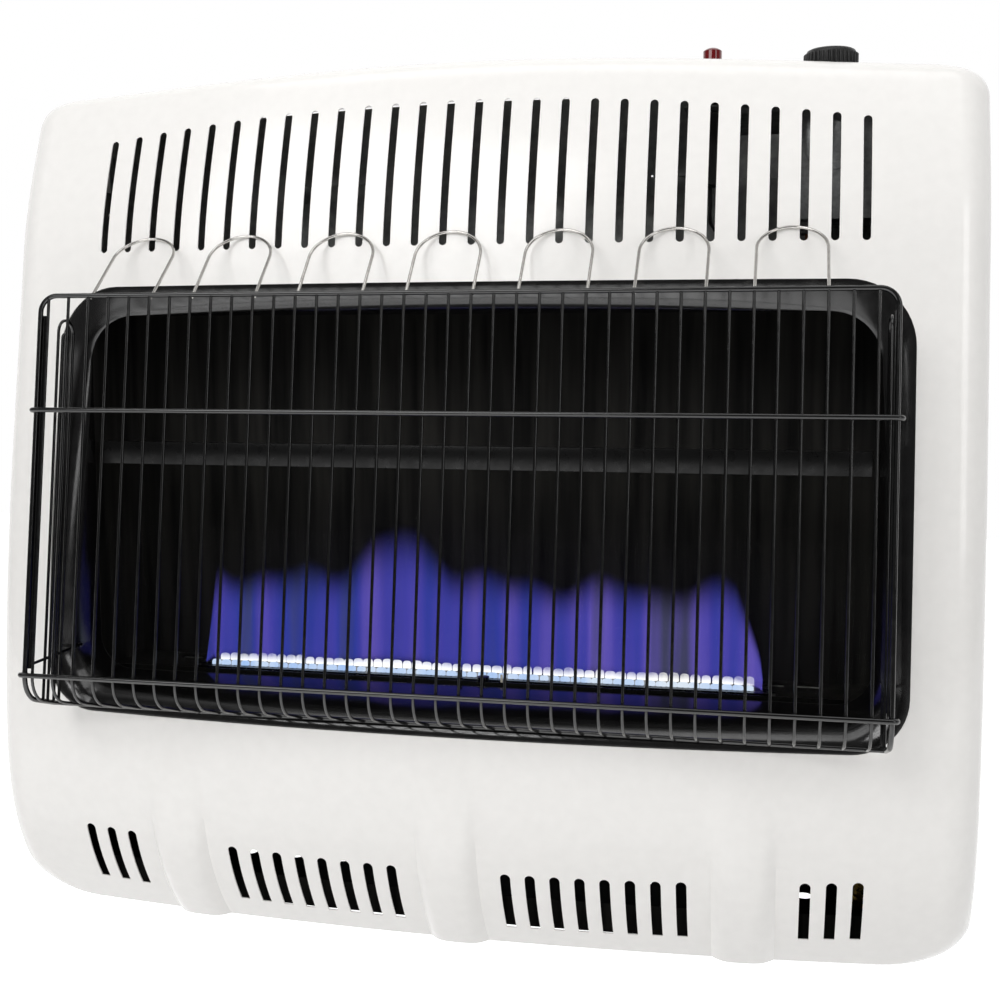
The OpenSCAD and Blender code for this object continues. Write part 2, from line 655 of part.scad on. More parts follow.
shield_z = fire_top + 32;
shield_back = -40;
shield_t = 0.8;
module heat_shield() {
    t = shield_t;
    color("silver") difference() {
        upright_x(-fire_x, fire_x) polygon([[hood_front, shield_z - 8], [hood_front + t, shield_z - 8],
            [hood_front + t, shield_z], [shield_back - t, shield_z], [shield_back - t, shield_z - 8],
            [shield_back, shield_z - 8], [shield_back, shield_z + t], [hood_front, shield_z + t]]);
        for (i = [-5:5]) translate([i * 50, -80, shield_z - 1]) rod(10, 4);
    }
}

plate_t = 1.2;
panel_front = panel_y - panel_t - seat;
module side_plate(s) {
    x0 = fire_x + seat;
    z0 = floor_z + 2;
    z1 = fire_top + 40;
    color("dimgray") mirror([s > 0 ? 0 : 1, 0, 0]) difference() {
        union() {
            block([x0, max(frame_y + firebox_t + seat, front_y(x0 + plate_t, z1) + casing_t + 1.5), z0],
                [x0 + plate_t, panel_front, z1]);
            block([x0, panel_front - plate_t, z0], [x0 + 14, panel_front, z1]);
        }
        for (k = [0:2]) translate([x0 - 5, -52, floor_z + 60 + 80 * k]) rotate([0, 90, 0]) rod(30, 10);
    }
}
module side_plate_left() {
    side_plate(-1);
}
module side_plate_right() {
    side_plate(1);
}

// ---- Glass ----

glass_x = inner_x + glass_lap;
glass_y = frame_y + firebox_t + seat;
channel_t = 0.8;
channel_gap = 0.2;
glass_z = floor_z + firebox_t + seat + channel_t + channel_gap;
glass_top = glass_z + glass_h;
module glass_pane() {
    color("lightgray", 0.35) block([-glass_x, glass_y, glass_z], [glass_x, glass_y + glass_t, glass_top]);
}

module glass_rail() {
    g = channel_gap;
    t = channel_t;
    low = glass_top + g + t - rail_h;
    color("dimgray") upright_x(-inner_x + 4, inner_x - 4) polygon([
        [glass_y - g - t, low], [glass_y - g, low], [glass_y - g, glass_top + g],
        [glass_y + glass_t + g, glass_top + g], [glass_y + glass_t + g, low],
        [glass_y + glass_t + g + t, low], [glass_y + glass_t + g + t, glass_top + g + t],
        [glass_y - g - t, glass_top + g + t]]);
}

module glass_channel() {
    g = channel_gap;
    t = channel_t;
    color("dimgray") upright_x(-glass_x, glass_x) polygon([
        [glass_y + glass_t + g, glass_z + 8], [glass_y + glass_t + g, glass_z - g], [glass_y, glass_z - g],
        [glass_y, glass_z - g - t], [glass_y + glass_t + g + t, glass_z - g - t],
        [glass_y + glass_t + g + t, glass_z + 8]]);
}

// ---- Burner ----

burner_z = burner_top - burner_h;
port_count = floor((burner_l - 16) / port_pitch);
mixer_z = burner_z + mixer_d / 2 + 2;
mixer_l = 26;
module burner_body() {
    wall = 1.5;
    color("darkslategray") difference() {
        union() {
            block([-burner_l / 2, burner_front, burner_z], [burner_l / 2, burner_rear, burner_top]);
            // Lip along the front, left out round the pilot
            for (x = [[-burner_l / 2, pilot_x - 28], [pilot_x + 24, burner_l / 2]])
                block([x[0], burner_front - 3, burner_top - 3.5], [x[1], burner_front + 1, burner_top - 2.5]);
        }
        block([-burner_l / 2 + wall, burner_front + wall, burner_z + wall],
            [burner_l / 2 - wall, burner_rear - wall, burner_top - wall]);
        for (s = [-1, 1]) for (i = [0:port_count - 1])
            translate([(i - (port_count - 1) / 2) * port_pitch, burner_y + s * burner_w * 0.28, burner_top - 3])
                linear_extrude(5) square([port_w, burner_w / 5], center = true);
        translate([burner_l / 2 - 5, burner_y, mixer_z]) rotate([0, 90, 0]) rod(mixer_d, 10);
    }
}

module mixer_tube() {
    color("silver") translate([burner_l / 2 - 4, burner_y, mixer_z]) rotate([0, 90, 0]) difference() {
        union() {
            rod(mixer_d - 0.2, mixer_l + 4);
            translate([0, 0, 4 + seat]) rod(mixer_d + 2, 2);
        }
        translate([0, 0, -1]) rod(mixer_d - 2.6, mixer_l + 6);
    }
}

module burner_brackets() {
    low = burner_z - seat - plate_t;
    high = floor_z - seat;
    y0 = burner_front - 16;
    y1 = burner_rear + 16;
    color("dimgray") for (x = [-burner_l / 4, burner_l / 4]) {
        block([x - 10, y0, low], [x + 10, y1, low + plate_t]);
        block([x - 10, y0, low], [x + 10, y0 + plate_t, high]);
        block([x - 10, y1 - plate_t, low], [x + 10, y1, high]);
        block([x - 10, y0, high - plate_t], [x + 10, y0 + 7, high]);
        block([x - 10, y1 - 7, high - plate_t], [x + 10, y1, high]);
    }
}

injector_x = burner_l / 2 + mixer_l + 8;
holder_l = 16;
module injector() {
    color("goldenrod") translate([injector_x, burner_y, mixer_z]) rotate([0, -90, 0]) difference() {
        union() {
            translate([0, 0, seat]) cylinder(d = 13, h = 5, $fn = 6);
            translate([0, 0, 5]) cylinder(d1 = 9, d2 = 5, h = 5, $fn = fine);
            translate([0, 0, -6]) rod(8, 7);
        }
        translate([0, 0, -7]) rod(1.8, 20);
    }
}

module injector_holder() {
    color("silver") difference() {
        block([injector_x, burner_y - 12, mixer_z - 11], [injector_x + holder_l, tube_y + 9, floor_z - seat]);
        translate([injector_x - 1, burner_y, mixer_z]) rotate([0, 90, 0]) rod(8.1, 8);
        translate([injector_x - 1, burner_y, mixer_z]) rotate([0, 90, 0]) rod(4, 12);
        translate([injector_x + 9, burner_y - 3.5, mixer_z]) rotate([-90, 0, 0]) rod(5, tube_y - burner_y + 3.5);
        translate([injector_x + 7, tube_y, mixer_z]) rotate([0, 90, 0]) rod(tube_d + 0.2, 10);
    }
}

// ---- Pilot ----

pilot_x = 12;
pilot_y = burner_front - 7;
probe_x = pilot_x - 18;
electrode_x = pilot_x + 14;
module pilot_bracket() {
    y1 = burner_front - seat;
    color("silver") difference() {
        union() {
            block([pilot_x - 26, y1 - plate_t, burner_z + 4], [pilot_x + 22, y1, burner_top - 4]);
            block([pilot_x - 26, pilot_y - 5.8, burner_top - 12], [pilot_x + 22, y1, burner_top - 10.8]);
        }
        for (p = [[probe_x, 5], [pilot_x, 7], [electrode_x, 5]]) translate([p[0], pilot_y, burner_top - 20]) rod(p[1] + 0.2, 20);
    }
}
module pilot_burner() {
    color("silver") translate([pilot_x, pilot_y, burner_top - 22]) difference() {
        union() {
            rod(7, 18);
            translate([0, 0, 6]) cylinder(d = 10.5, h = 3.7, $fn = 6);
            translate([0, 0, 18]) rod(9, 8);
        }
        translate([0, 0, -1]) rod(pilot_d + 0.2, 7);
        translate([0, 0, 3]) rod(3, 20);
        translate([0, 0, 21.5]) rotate([-90, 0, 0]) rod(3.4, 8);
    }
}
module thermocouple() {
    color("silver") translate([probe_x, pilot_y, burner_top - 24]) difference() {
        union() {
            rod(5, 26);
            translate([0, 0, 8]) rod(7.4, 3.7);
            translate([0, 0, 25]) rod(3.4, 7);
        }
        translate([0, 0, -1]) rod(lead_d + 0.2, 6);
    }
}
module spark_electrode() {
    color("white") translate([electrode_x, pilot_y, burner_top - 24]) difference() {
        union() {
            rod(5, 22);
            translate([0, 0, 8]) rod(8, 3.7);
            translate([0, 0, 21]) rod(1.8, 9);
        }
        translate([0, 0, -1]) rod(lead_d + 0.2, 6);
    }
}

// ---- Gas valve and controls ----

valve_top = min(top_at(knob_x), top_at(button_x)) - casing_t - 29;
valve_h = 80;
valve_x0 = knob_x - 30;
valve_x1 = knob_x + 30;
valve_y0 = -control_y - 30;
valve_y1 = -control_y + 30;
valve_low = valve_top - valve_h;
inlet_z = valve_top - 26;
outlet_z = valve_top - 56;
tube_d = 9.5;
tube_y = -control_y - 18;
tube_run_x = inlet_x + 20;
boss_d = stem_d + 6;
boss_h = 13;
stem_low = valve_top - 10;
pilot_port_x = knob_x + 12;
magnet_x = knob_x - 14;
capillary_x = knob_x + 24;
capillary_z = valve_top - 20;

module gas_valve() {
    color("lightgray") difference() {
        union() {
            block([valve_x0, valve_y0, valve_low], [valve_x1, valve_y1, valve_top]);
            translate([knob_x, -control_y, valve_top - 1]) rod(boss_d, boss_h + 1);
            // Magnet unit's housing, then the thermostat's cover
            translate([magnet_x, -control_y, valve_low - 8]) rod(22, 9);
            translate([knob_x, valve_y0 + 1, valve_top - 30]) rotate([90, 0, 0]) rod(34, 6);
            translate([knob_x, valve_y0 - 4, valve_top - 30]) rotate([90, 0, 0]) rod(24, 3);
            for (p = [[inlet_y, inlet_z], [tube_y, outlet_z]])
                translate([valve_x1 - 1, p[0], p[1]]) rotate([0, 90, 0]) cylinder(d = 19, h = 10, $fn = 6);
        }
        translate([knob_x, -control_y, valve_top - 16]) rod(stem_d + 0.1, boss_h + 20);
        for (p = [[inlet_y, inlet_z], [tube_y, outlet_z]])
            translate([valve_x1 + 1, p[0], p[1]]) rotate([0, 90, 0]) rod(tube_d + 0.2, 10);
        translate([pilot_port_x, -control_y + 12, valve_low - 1]) rod(pilot_d + 0.2, 9);
        translate([magnet_x, -control_y, valve_low - 9]) rod(lead_d + 0.2, 8);
        translate([capillary_x, valve_y1 + 1, capillary_z]) rotate([90, 0, 0]) rod(capillary_d + 0.2, 8);
    }
}

bracket_z = valve_top + seat;
shoulder_z = bracket_z + plate_t + 20.4;
collar_h = 2.6;
knob_low = knob_top_z - knob_sink;
module valve_stem() {
    color("silver") translate([knob_x, -control_y, 0]) {
        translate([0, 0, stem_low]) rod(stem_d, knob_low + knob_h - 5.3 - stem_low);
        translate([0, 0, shoulder_z + seat]) rod(stem_d + 3, 1.6);
    }
}
module push_collar() {
    color("silver") translate([knob_x, -control_y, shoulder_z - collar_h]) rod(boss_d + 9, collar_h, stem_d + 0.1);
}

// Coil that lifts the stem again: a wire swept round the valve's boss
spring_turns = 4;
spring_wire = 1.2;
spring_low = bracket_z + plate_t + seat;
spring_high = shoulder_z - collar_h - seat;
module stem_spring() {
    r = boss_d / 2 + 1.6 + spring_wire / 2;
    sides = 6;
    per_turn = 16;
    count = spring_turns * per_turn;
    rise = spring_high - spring_low - spring_wire;
    color("silver") translate([knob_x, -control_y, 0]) polyhedron(
        [for (k = [0:count]) let (a = 360 * k / per_turn, z = spring_low + spring_wire / 2 + rise * k / count)
            for (j = [0:sides - 1]) let (b = 360 * j / sides + 30, q = r + spring_wire / 2 * cos(b))
                [q * cos(a), q * sin(a), z + spring_wire / 2 * sin(b)]],
        concat([[for (j = [0:sides - 1]) j]],
            [for (k = [0:count - 1]) for (j = [0:sides - 1]) let (m = (j + 1) % sides)
                each quad(k * sides + m, k * sides + j, (k + 1) * sides + j, (k + 1) * sides + m)],
            [[for (j = [sides - 1:-1:0]) count * sides + j]]));
}

grip_count = 36;
module control_knob() {
    r = knob_d / 2;
    color("black") translate([knob_x, -control_y, knob_low]) difference() {
        union() {
            rotate_extrude($fn = 96) polygon([[0, 0], [r - 1.4, 0], [r - 1.2, knob_h - 3], [r - 2.4, knob_h - 0.8],
                [r - 4, knob_h], [0, knob_h]]);
            for (i = [0:grip_count - 1]) rotate([0, 0, 360 * i / grip_count]) translate([r - 1.1, 0, 0.8])
                cylinder(d = 2.2, h = knob_h - 4, $fn = 16);
        }
        translate([0, 0, -1]) rod(stem_d + 0.04, knob_h - 4);
        translate([0, 0, -1]) difference() {
            rod(knob_d - 9, knob_h - 5);
            rod(stem_d + 7, knob_h - 5);
        }
        // Pointer line cut into the top
        translate([-1, -r + 5, knob_h - 0.8]) cube([2, r - 8, 2]);
    }
}

module control_bracket() {
    x0 = button_x - 18;
    x1 = valve_x1 + 2;
    color("silver") difference() {
        union() {
            block([x0, valve_y0 + 2, bracket_z], [x1, panel_front, bracket_z + plate_t]);
            block([tab_x + tab_w / 2 + 4, panel_front - plate_t, bracket_z - 34], [x1, panel_front, bracket_z + plate_t]);
        }
        translate([knob_x, -control_y, bracket_z - 1]) rod(boss_d + 0.4, 5);
        translate([button_x, -control_y, bracket_z - 1]) rod(igniter_neck_d + 0.4, 5);
    }
}

ring_h = 3;
ring_r = igniter_neck_d / 2 + 2.6;
ring_z = bracket_z + plate_t + seat;
body_low = valve_top - 52;
button_low = valve_top - 4;
module igniter_body() {
    color("black") translate([button_x, -control_y, 0]) difference() {
        union() {
            translate([0, 0, body_low]) rod(igniter_neck_d + 6, valve_top - body_low);
            translate([0, 0, body_low]) rod(igniter_neck_d, button_top_z + 1.6 - body_low);
        }
        translate([0, 0, button_low - button_travel - 2]) rod(button_d + 0.16, 120);
        translate([0, 0, body_low - 1]) rod(lead_d + 0.4, 8);
    }
}
module igniter_nut() {
    color("black") translate([button_x, -control_y, ring_z]) difference() {
        cylinder(r = ring_r, h = ring_h, $fn = 6);
        translate([0, 0, -1]) rod(igniter_neck_d + 0.2, ring_h + 2);
    }
}
module igniter_button() {
    dome = button_d * 0.75;
    top = button_top_z + button_rise;
    color("darkred") translate([button_x, -control_y, 0]) intersection() {
        translate([0, 0, button_low]) rod(button_d, top - button_low);
        union() {
            translate([0, 0, top - dome]) sphere(r = dome, $fn = 64);
            translate([0, 0, button_low - 1]) rod(button_d + 4, top - dome - button_low + 1);
        }
    }
}

// ---- Tubes and leads ----

pilot_d = 4.8;
lead_d = 2.4;
capillary_d = 1.8;
lead_y = -28;
under = floor_z - 56;

module inlet_tube() {
    color("silver") bent([[valve_x1 + 2, inlet_y, inlet_z], [tube_run_x, inlet_y, inlet_z],
        [tube_run_x, inlet_y, floor_z - 45], [inlet_x, inlet_y, floor_z - 45], [inlet_x, inlet_y, regulator_top - 8]],
        tube_d, [16, 9, 9]);
}
module burner_tube() {
    color("silver") bent([[valve_x1 + 2, tube_y, outlet_z], [tube_run_x, tube_y, outlet_z], [tube_run_x, tube_y, mixer_z],
        [injector_x + 8, tube_y, mixer_z]], tube_d, 16);
}
module pilot_tube() {
    x = pilot_port_x;
    z = valve_low - 10;
    color("silver") bent([[x, -control_y + 12, valve_low + 5], [x, -control_y + 12, z], [x, lead_y, z], [x, lead_y, under - 6],
        [pilot_x, lead_y, under - 6], [pilot_x, pilot_y, under - 6], [pilot_x, pilot_y, burner_top - 19]], pilot_d, 8);
}
module thermocouple_lead() {
    x = magnet_x;
    z = valve_low - 15;
    color("goldenrod") bent([[x, -control_y, valve_low - 3], [x, -control_y, z], [x, lead_y, z], [x, lead_y, under + 4],
        [probe_x, lead_y, under + 4], [probe_x, pilot_y, under + 4], [probe_x, pilot_y, burner_top - 20]], lead_d, 6);
}
module igniter_lead() {
    x = button_x;
    z = body_low - 26;
    color("black") bent([[x, -control_y, body_low + 5], [x, -control_y, z], [x, lead_y, z], [x, lead_y, under + 14],
        [electrode_x, lead_y, under + 14], [electrode_x, pilot_y, under + 14], [electrode_x, pilot_y, burner_top - 20]],
        lead_d, 8);
}

bulb_y = -22;
bulb_z = mix(tray_z + tray_t, under - 8, 0.47);
bulb_d = 9.5;
bulb_x0 = 90;
bulb_l = 110;
module thermostat_bulb() {
    color("peru") translate([bulb_x0, bulb_y, bulb_z]) rotate([0, 90, 0]) difference() {
        rod(bulb_d, bulb_l);
        translate([0, 0, bulb_l - 5]) rod(capillary_d + 0.2, 8);
    }
}
module thermostat_capillary() {
    color("peru") bent([[capillary_x, valve_y1 - 4, capillary_z], [capillary_x, bulb_y, capillary_z],
        [capillary_x, bulb_y, bulb_z], [bulb_x0 + bulb_l - 4, bulb_y, bulb_z]], capillary_d, 8);
}
module bulb_clips() {
    color("dimgray") for (x = [bulb_x0 + 20, bulb_x0 + bulb_l - 20]) difference() {
        block([x - 3, bulb_y - 7, bulb_z - 7], [x + 3, panel_front, bulb_z + 7]);
        translate([x - 5, bulb_y, bulb_z]) rotate([0, 90, 0]) rod(bulb_d + 0.2, 10);
    }
}

regulator_low = tray_z + 34;
regulator_h = 58;
regulator_top = regulator_low + regulator_h;
module pressure_regulator() {
    color("lightgray") translate([inlet_x, inlet_y, 0]) difference() {
        union() {
            translate([0, 0, regulator_low]) rod(24, regulator_top - regulator_low);
            translate([0, 22, regulator_low + 26]) rotate([90, 0, 0]) rod(46, 44);
            translate([0, 26, regulator_low + 26]) rotate([90, 0, 0]) rod(30, 52);
        }
        translate([0, 0, regulator_low - 1]) rod(15, 12);
        translate([0, 0, regulator_top - 9]) rod(tube_d + 0.2, 10);
    }
}
module inlet_fitting() {
    low = tray_z - 8;
    color("goldenrod") translate([inlet_x, inlet_y, 0]) difference() {
        union() {
            translate([0, 0, low]) rod(inlet_bore_d + 8, regulator_low - seat - low);
            translate([0, 0, low]) rod(14.8, regulator_low + 9 - low);
            translate([0, 0, tray_z + tray_t + seat]) cylinder(d = 32, h = 8, $fn = 6);
        }
        translate([0, 0, low - 1]) rod(inlet_bore_d, inlet_bore_l + 1);
        translate([0, 0, low - 1]) rod(8, 80);
    }
}

// ---- Guard ----
// Side view of the guard: points are [y, z]; its front is one straight line, bent back at the bottom

guard_x = opening_x - 16.2;
bar_step = bar_d - weld;
top_bar_z = opening_top - top_bar_drop;
low_bar_z = opening_bottom + bottom_bar_rise;
mid_bar_z = top_bar_z - mid_bar_drop;
guard_top = [front_y(0, top_bar_z) - guard_out_top, top_bar_z];
guard_low = [front_y(0, low_bar_z) - guard_out_bottom + bar_step, low_bar_z];
guard_down = unit(guard_low - guard_top);
guard_in = [-guard_down[1], guard_down[0]];
guard_bend = 20;
guard_turn = 80;
guard_heel = guard_low + guard_down * 16.5;
guard_back_dir = guard_down * cos(guard_turn) + guard_in * sin(guard_turn);
guard_back_in = guard_in * cos(guard_turn) - guard_down * sin(guard_turn);
guard_rear = guard_heel + guard_back_dir * 44.5;
rail_d = bar_d - 0.4;
tie_d = 2.2;
hairpin_x = guard_x - (bar_d + wire_d) / 2 + weld;
tie_x = hairpin_x + (wire_d + tie_d) / 2 - weld;
tie_z = low_bar_z + 6;

function at_x(x, p) = [x, p[0], p[1]];
// Point of the guard's front line at a height, pushed in by a distance
function guard_at(z, in) = guard_top + guard_down * ((z - guard_top[1]) / guard_down[1]) + guard_in * in;
// Height of the guard's bottom run, behind its heel
function run_z(y) = guard_heel[1] + (y - guard_heel[0]) * guard_back_dir[1] / guard_back_dir[0];

module guard_frame() {
    side = [at_x(guard_x, guard_rear), at_x(guard_x, guard_heel), at_x(guard_x, guard_top)];
    color("black") union() {
        wire(concat(side, [for (i = [2:-1:0]) [-side[i][0], side[i][1], side[i][2]]]), bar_d, [guard_bend, 12, 12, guard_bend],
            5, 12);
        translate([-guard_x - 1, guard_rear[0], guard_rear[1]]) rotate([0, 90, 0]) rod(rail_d, 2 * guard_x + 2);
    }
}

wire_in = -0.6;
function wire_path(x, in) = let (tight = in * tan(guard_turn / 2))
    [at_x(x, guard_rear + guard_back_in * in - guard_back_dir * (rail_d / 2 - weld)),
     at_x(x, guard_heel + guard_in * in - guard_down * tight),
     at_x(x, guard_top + guard_down * (bar_d / 2 - weld) + guard_in * in)];
bend_trim = guard_bend * tan(guard_turn / 2);
module guard_wires() {
    color("black") for (i = [0:wire_count - 1]) {
        path = wire_path(wire_shift + (i - (wire_count - 1) / 2) * wire_pitch, wire_in);
        bent([path[1] + unit(path[2] - path[1]) * (bend_trim + 0.02), path[2]], wire_d, 1);
    }
}
// The wires' lower ends, bent back to the rail
module guard_feet() {
    color("black") for (i = [0:wire_count - 1]) {
        path = wire_path(wire_shift + (i - (wire_count - 1) / 2) * wire_pitch, wire_in);
        wire([path[0], path[1], path[1] + unit(path[2] - path[1]) * (bend_trim + 0.01)], wire_d, guard_bend);
    }
}

module guard_bars() {
    end = guard_x + bar_step;
    color("black") for (z = [mid_bar_z, low_bar_z]) {
        tail = guard_at(z, 7);
        bar = guard_at(z, -bar_step);
        bent([at_x(-end, tail), at_x(-end, bar), at_x(end, bar), at_x(end, tail)], bar_d, 4);
    }
}

module hairpin(x, back0, back1, top, r) {
    p = guard_at(top, 0);
    low0 = guard_at(guard_heel[1], 0)[0] + back0;
    low1 = guard_at(guard_heel[1], 0)[0] + back1;
    wire([[x, low0, run_z(low0) + 1], [x, p[0] + back0, top], [x, p[0] + back1, top], [x, low1, run_z(low1) + 1]], wire_d, r);
}
leg_in = 1.6;
leg_back = sqrt(bar_step * bar_step - leg_in * leg_in);
module guard_hairpins() {
    color("black") for (s = [-1, 1]) {
        hairpin(s * hairpin_x, 21, 42, top_bar_z - 17, 10);
        hairpin(s * hairpin_x, 27, 35, top_bar_z - 27, 3.7);
        // Second wire behind and beside each leg of the frame
        bent([at_x(s * (guard_x - leg_in), guard_at(top_bar_z - 14, leg_back)),
            at_x(s * (guard_x - leg_in), guard_heel - guard_down * (guard_bend + 1) + guard_in * leg_back)], bar_d, 1);
    }
}

module guard_ties() {
    y0 = guard_at(tie_z, 0)[0] + bar_step + bar_d / 2;
    y1 = mix(front_y(opening_x, tie_z), -face_depth, 0.4);
    color("black") for (s = [-1, 1]) translate([s * tie_x, y0, tie_z]) rotate([-90, 0, 0]) rod(tie_d, y1 - y0);
}

loop_half = 1.5 * wire_pitch;
module guard_loops() {
    top = top_bar_z + loop_rise;
    color("silver") for (i = [0:loop_count - 1]) {
        x = wire_shift + (i - (loop_count - 1) / 2) * 5 * wire_pitch;
        aim_at = [front_y(x, top) - wire_d / 2 - seat, top];
        first = unit(aim_at - guard_top);
        side = [first[1], -first[0]];
        up = unit(aim_at - side * (bar_d + wire_d) / 2 - guard_top);
        foot = guard_top + [up[1], -up[0]] * ((bar_d + wire_d) / 2 - weld);
        bent([at_x(x - loop_half, foot), at_x(x - loop_half, aim_at), at_x(x + loop_half, aim_at), at_x(x + loop_half, foot)],
            wire_d, loop_half - 0.2);
    }
}

wall_bracket();
wall_spacers();
back_panel();
casing();
casing_screws();
base_tray();
surround();
surround_nuts();
firebox();
hood();
heat_shield();
side_plate_left();
side_plate_right();
glass_pane();
glass_rail();
glass_channel();
burner_body();
burner_brackets();
mixer_tube();
injector();
injector_holder();
pilot_bracket();
pilot_burner();
spark_electrode();
thermocouple();
thermocouple_lead();
pilot_tube();
burner_tube();
inlet_tube();
pressure_regulator();
inlet_fitting();
gas_valve();
valve_stem();
push_collar();
stem_spring();
control_knob();
control_bracket();
igniter_body();
igniter_nut();
igniter_button();
igniter_lead();
thermostat_bulb();
thermostat_capillary();
bulb_clips();
guard_frame();
guard_wires();
guard_feet();
guard_bars();
guard_hairpins();
guard_ties();
guard_loops();
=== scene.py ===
import bpy
import json
import math
import random
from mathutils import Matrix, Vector


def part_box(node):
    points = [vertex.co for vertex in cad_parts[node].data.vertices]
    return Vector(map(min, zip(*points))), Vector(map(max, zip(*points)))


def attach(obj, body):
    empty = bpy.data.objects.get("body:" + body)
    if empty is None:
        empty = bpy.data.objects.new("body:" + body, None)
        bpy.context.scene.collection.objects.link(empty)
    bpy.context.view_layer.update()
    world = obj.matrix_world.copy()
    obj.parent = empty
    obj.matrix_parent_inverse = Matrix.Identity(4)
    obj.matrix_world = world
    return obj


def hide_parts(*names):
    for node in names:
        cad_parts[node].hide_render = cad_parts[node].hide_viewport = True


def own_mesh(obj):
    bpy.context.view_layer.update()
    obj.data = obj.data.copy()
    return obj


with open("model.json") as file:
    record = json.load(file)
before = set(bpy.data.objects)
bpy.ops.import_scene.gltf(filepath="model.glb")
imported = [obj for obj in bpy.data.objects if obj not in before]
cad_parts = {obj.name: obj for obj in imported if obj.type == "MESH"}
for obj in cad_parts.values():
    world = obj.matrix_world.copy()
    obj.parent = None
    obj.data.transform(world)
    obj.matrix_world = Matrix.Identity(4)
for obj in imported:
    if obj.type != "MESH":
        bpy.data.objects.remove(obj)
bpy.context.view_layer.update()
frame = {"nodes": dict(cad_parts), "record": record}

scene = bpy.context.scene
nodes = frame["nodes"]
MM = 0.001


# ---- Camera ----

def place_camera():
    data = bpy.data.cameras.new("camera")
    data.lens = 48.49
    data.sensor_width = 36
    camera = bpy.data.objects.new("camera", data)
    scene.collection.objects.link(camera)
    camera.location = (0.2291, -1.1350, -0.1267)
    camera.rotation_euler = (math.pi / 2 - 0.10662, 0, 0.20803)
    scene.camera = camera


place_camera()
scene.view_settings.view_transform = "Standard"


# ---- Materials ----

def hex_colour(text, alpha=1.0):
    """sRGB hex to linear."""
    parts = [int(text[i:i + 2], 16) / 255 for i in (0, 2, 4)]
    return tuple(c / 12.92 if c <= 0.04045 else ((c + 0.055) / 1.055) ** 2.4 for c in parts) + (alpha,)


def add_node(tree, kind, settings=None, links=None):
    """Adds one node. Settings name its attributes or input sockets, links give each input its source socket."""
    node = tree.nodes.new(kind)
    for name, value in (settings or {}).items():
        if isinstance(name, str) and hasattr(node, name):
            setattr(node, name, value)
        else:
            node.inputs[name].default_value = value
    for name, source in (links or {}).items():
        tree.links.new(source, node.inputs[name])
    return node


def new_material(name, shader):
    """A material with one Principled shader set as given; returns its tree, the shader and object coordinates."""
    material = bpy.data.materials.new(name)
    material.use_nodes = True
    tree = material.node_tree
    tree.nodes.clear()
    surface = add_node(tree, "ShaderNodeBsdfPrincipled", shader)
    add_node(tree, "ShaderNodeOutputMaterial", None, {"Surface": surface.outputs["BSDF"]})
    place = add_node(tree, "ShaderNodeTexCoord").outputs["Object"]
    return material, tree, surface, place


def noise(tree, place, size_mm, detail=2.0, stretch=None):
    """Noise whose grains are about size_mm across; stretch scales it by axis."""
    if stretch:
        place = add_node(tree, "ShaderNodeMapping", {"Scale": stretch}, {"Vector": place}).outputs["Vector"]
    return add_node(tree, "ShaderNodeTexNoise", {"Scale": 1000 / size_mm, "Detail": detail},
                    {"Vector": place}).outputs["Fac"]


def ramp(tree, source, low, high, out_low, out_high):
    """Maps a range of a factor to another."""
    return add_node(tree, "ShaderNodeMapRange", {"From Min": low, "From Max": high, "To Min": out_low, "To Max": out_high},
                    {"Value": source}).outputs["Result"]


def blend_colour(tree, factor, first, second):
    mixer = add_node(tree, "ShaderNodeMix", {"data_type": "RGBA"})
    colours = [s for s in mixer.inputs if s.type == "RGBA"]
    colours[0].default_value = hex_colour(first)
    colours[1].default_value = hex_colour(second)
    tree.links.new(factor, mixer.inputs["Factor"])
    return [s for s in mixer.outputs if s.type == "RGBA"][0]


def bump(tree, surface, height, depth_mm, strength=1.0):
    made = add_node(tree, "ShaderNodeBump", {"Strength": strength, "Distance": depth_mm * MM}, {"Height": height})
    tree.links.new(made.outputs["Normal"], surface.inputs["Normal"])
    return made


def plain_finish(name, colours, roughness, grain_mm, shader=None, depth_mm=0.0, stretch=None, detail=3.0):
    """A finish whose colour and roughness drift over grains of a real size, with a slight relief."""
    material, tree, surface, place = new_material(name, shader or {})
    grain = noise(tree, place, grain_mm, detail, stretch)
    spread = ramp(tree, grain, 0.3, 0.7, 0.0, 1.0)
    tree.links.new(blend_colour(tree, spread, *colours), surface.inputs["Base Color"])
    tree.links.new(ramp(tree, grain, 0.3, 0.7, *roughness), surface.inputs["Roughness"])
    if depth_mm:
        bump(tree, surface, noise(tree, place, grain_mm / 3, 2.0, stretch), depth_mm)
    return material


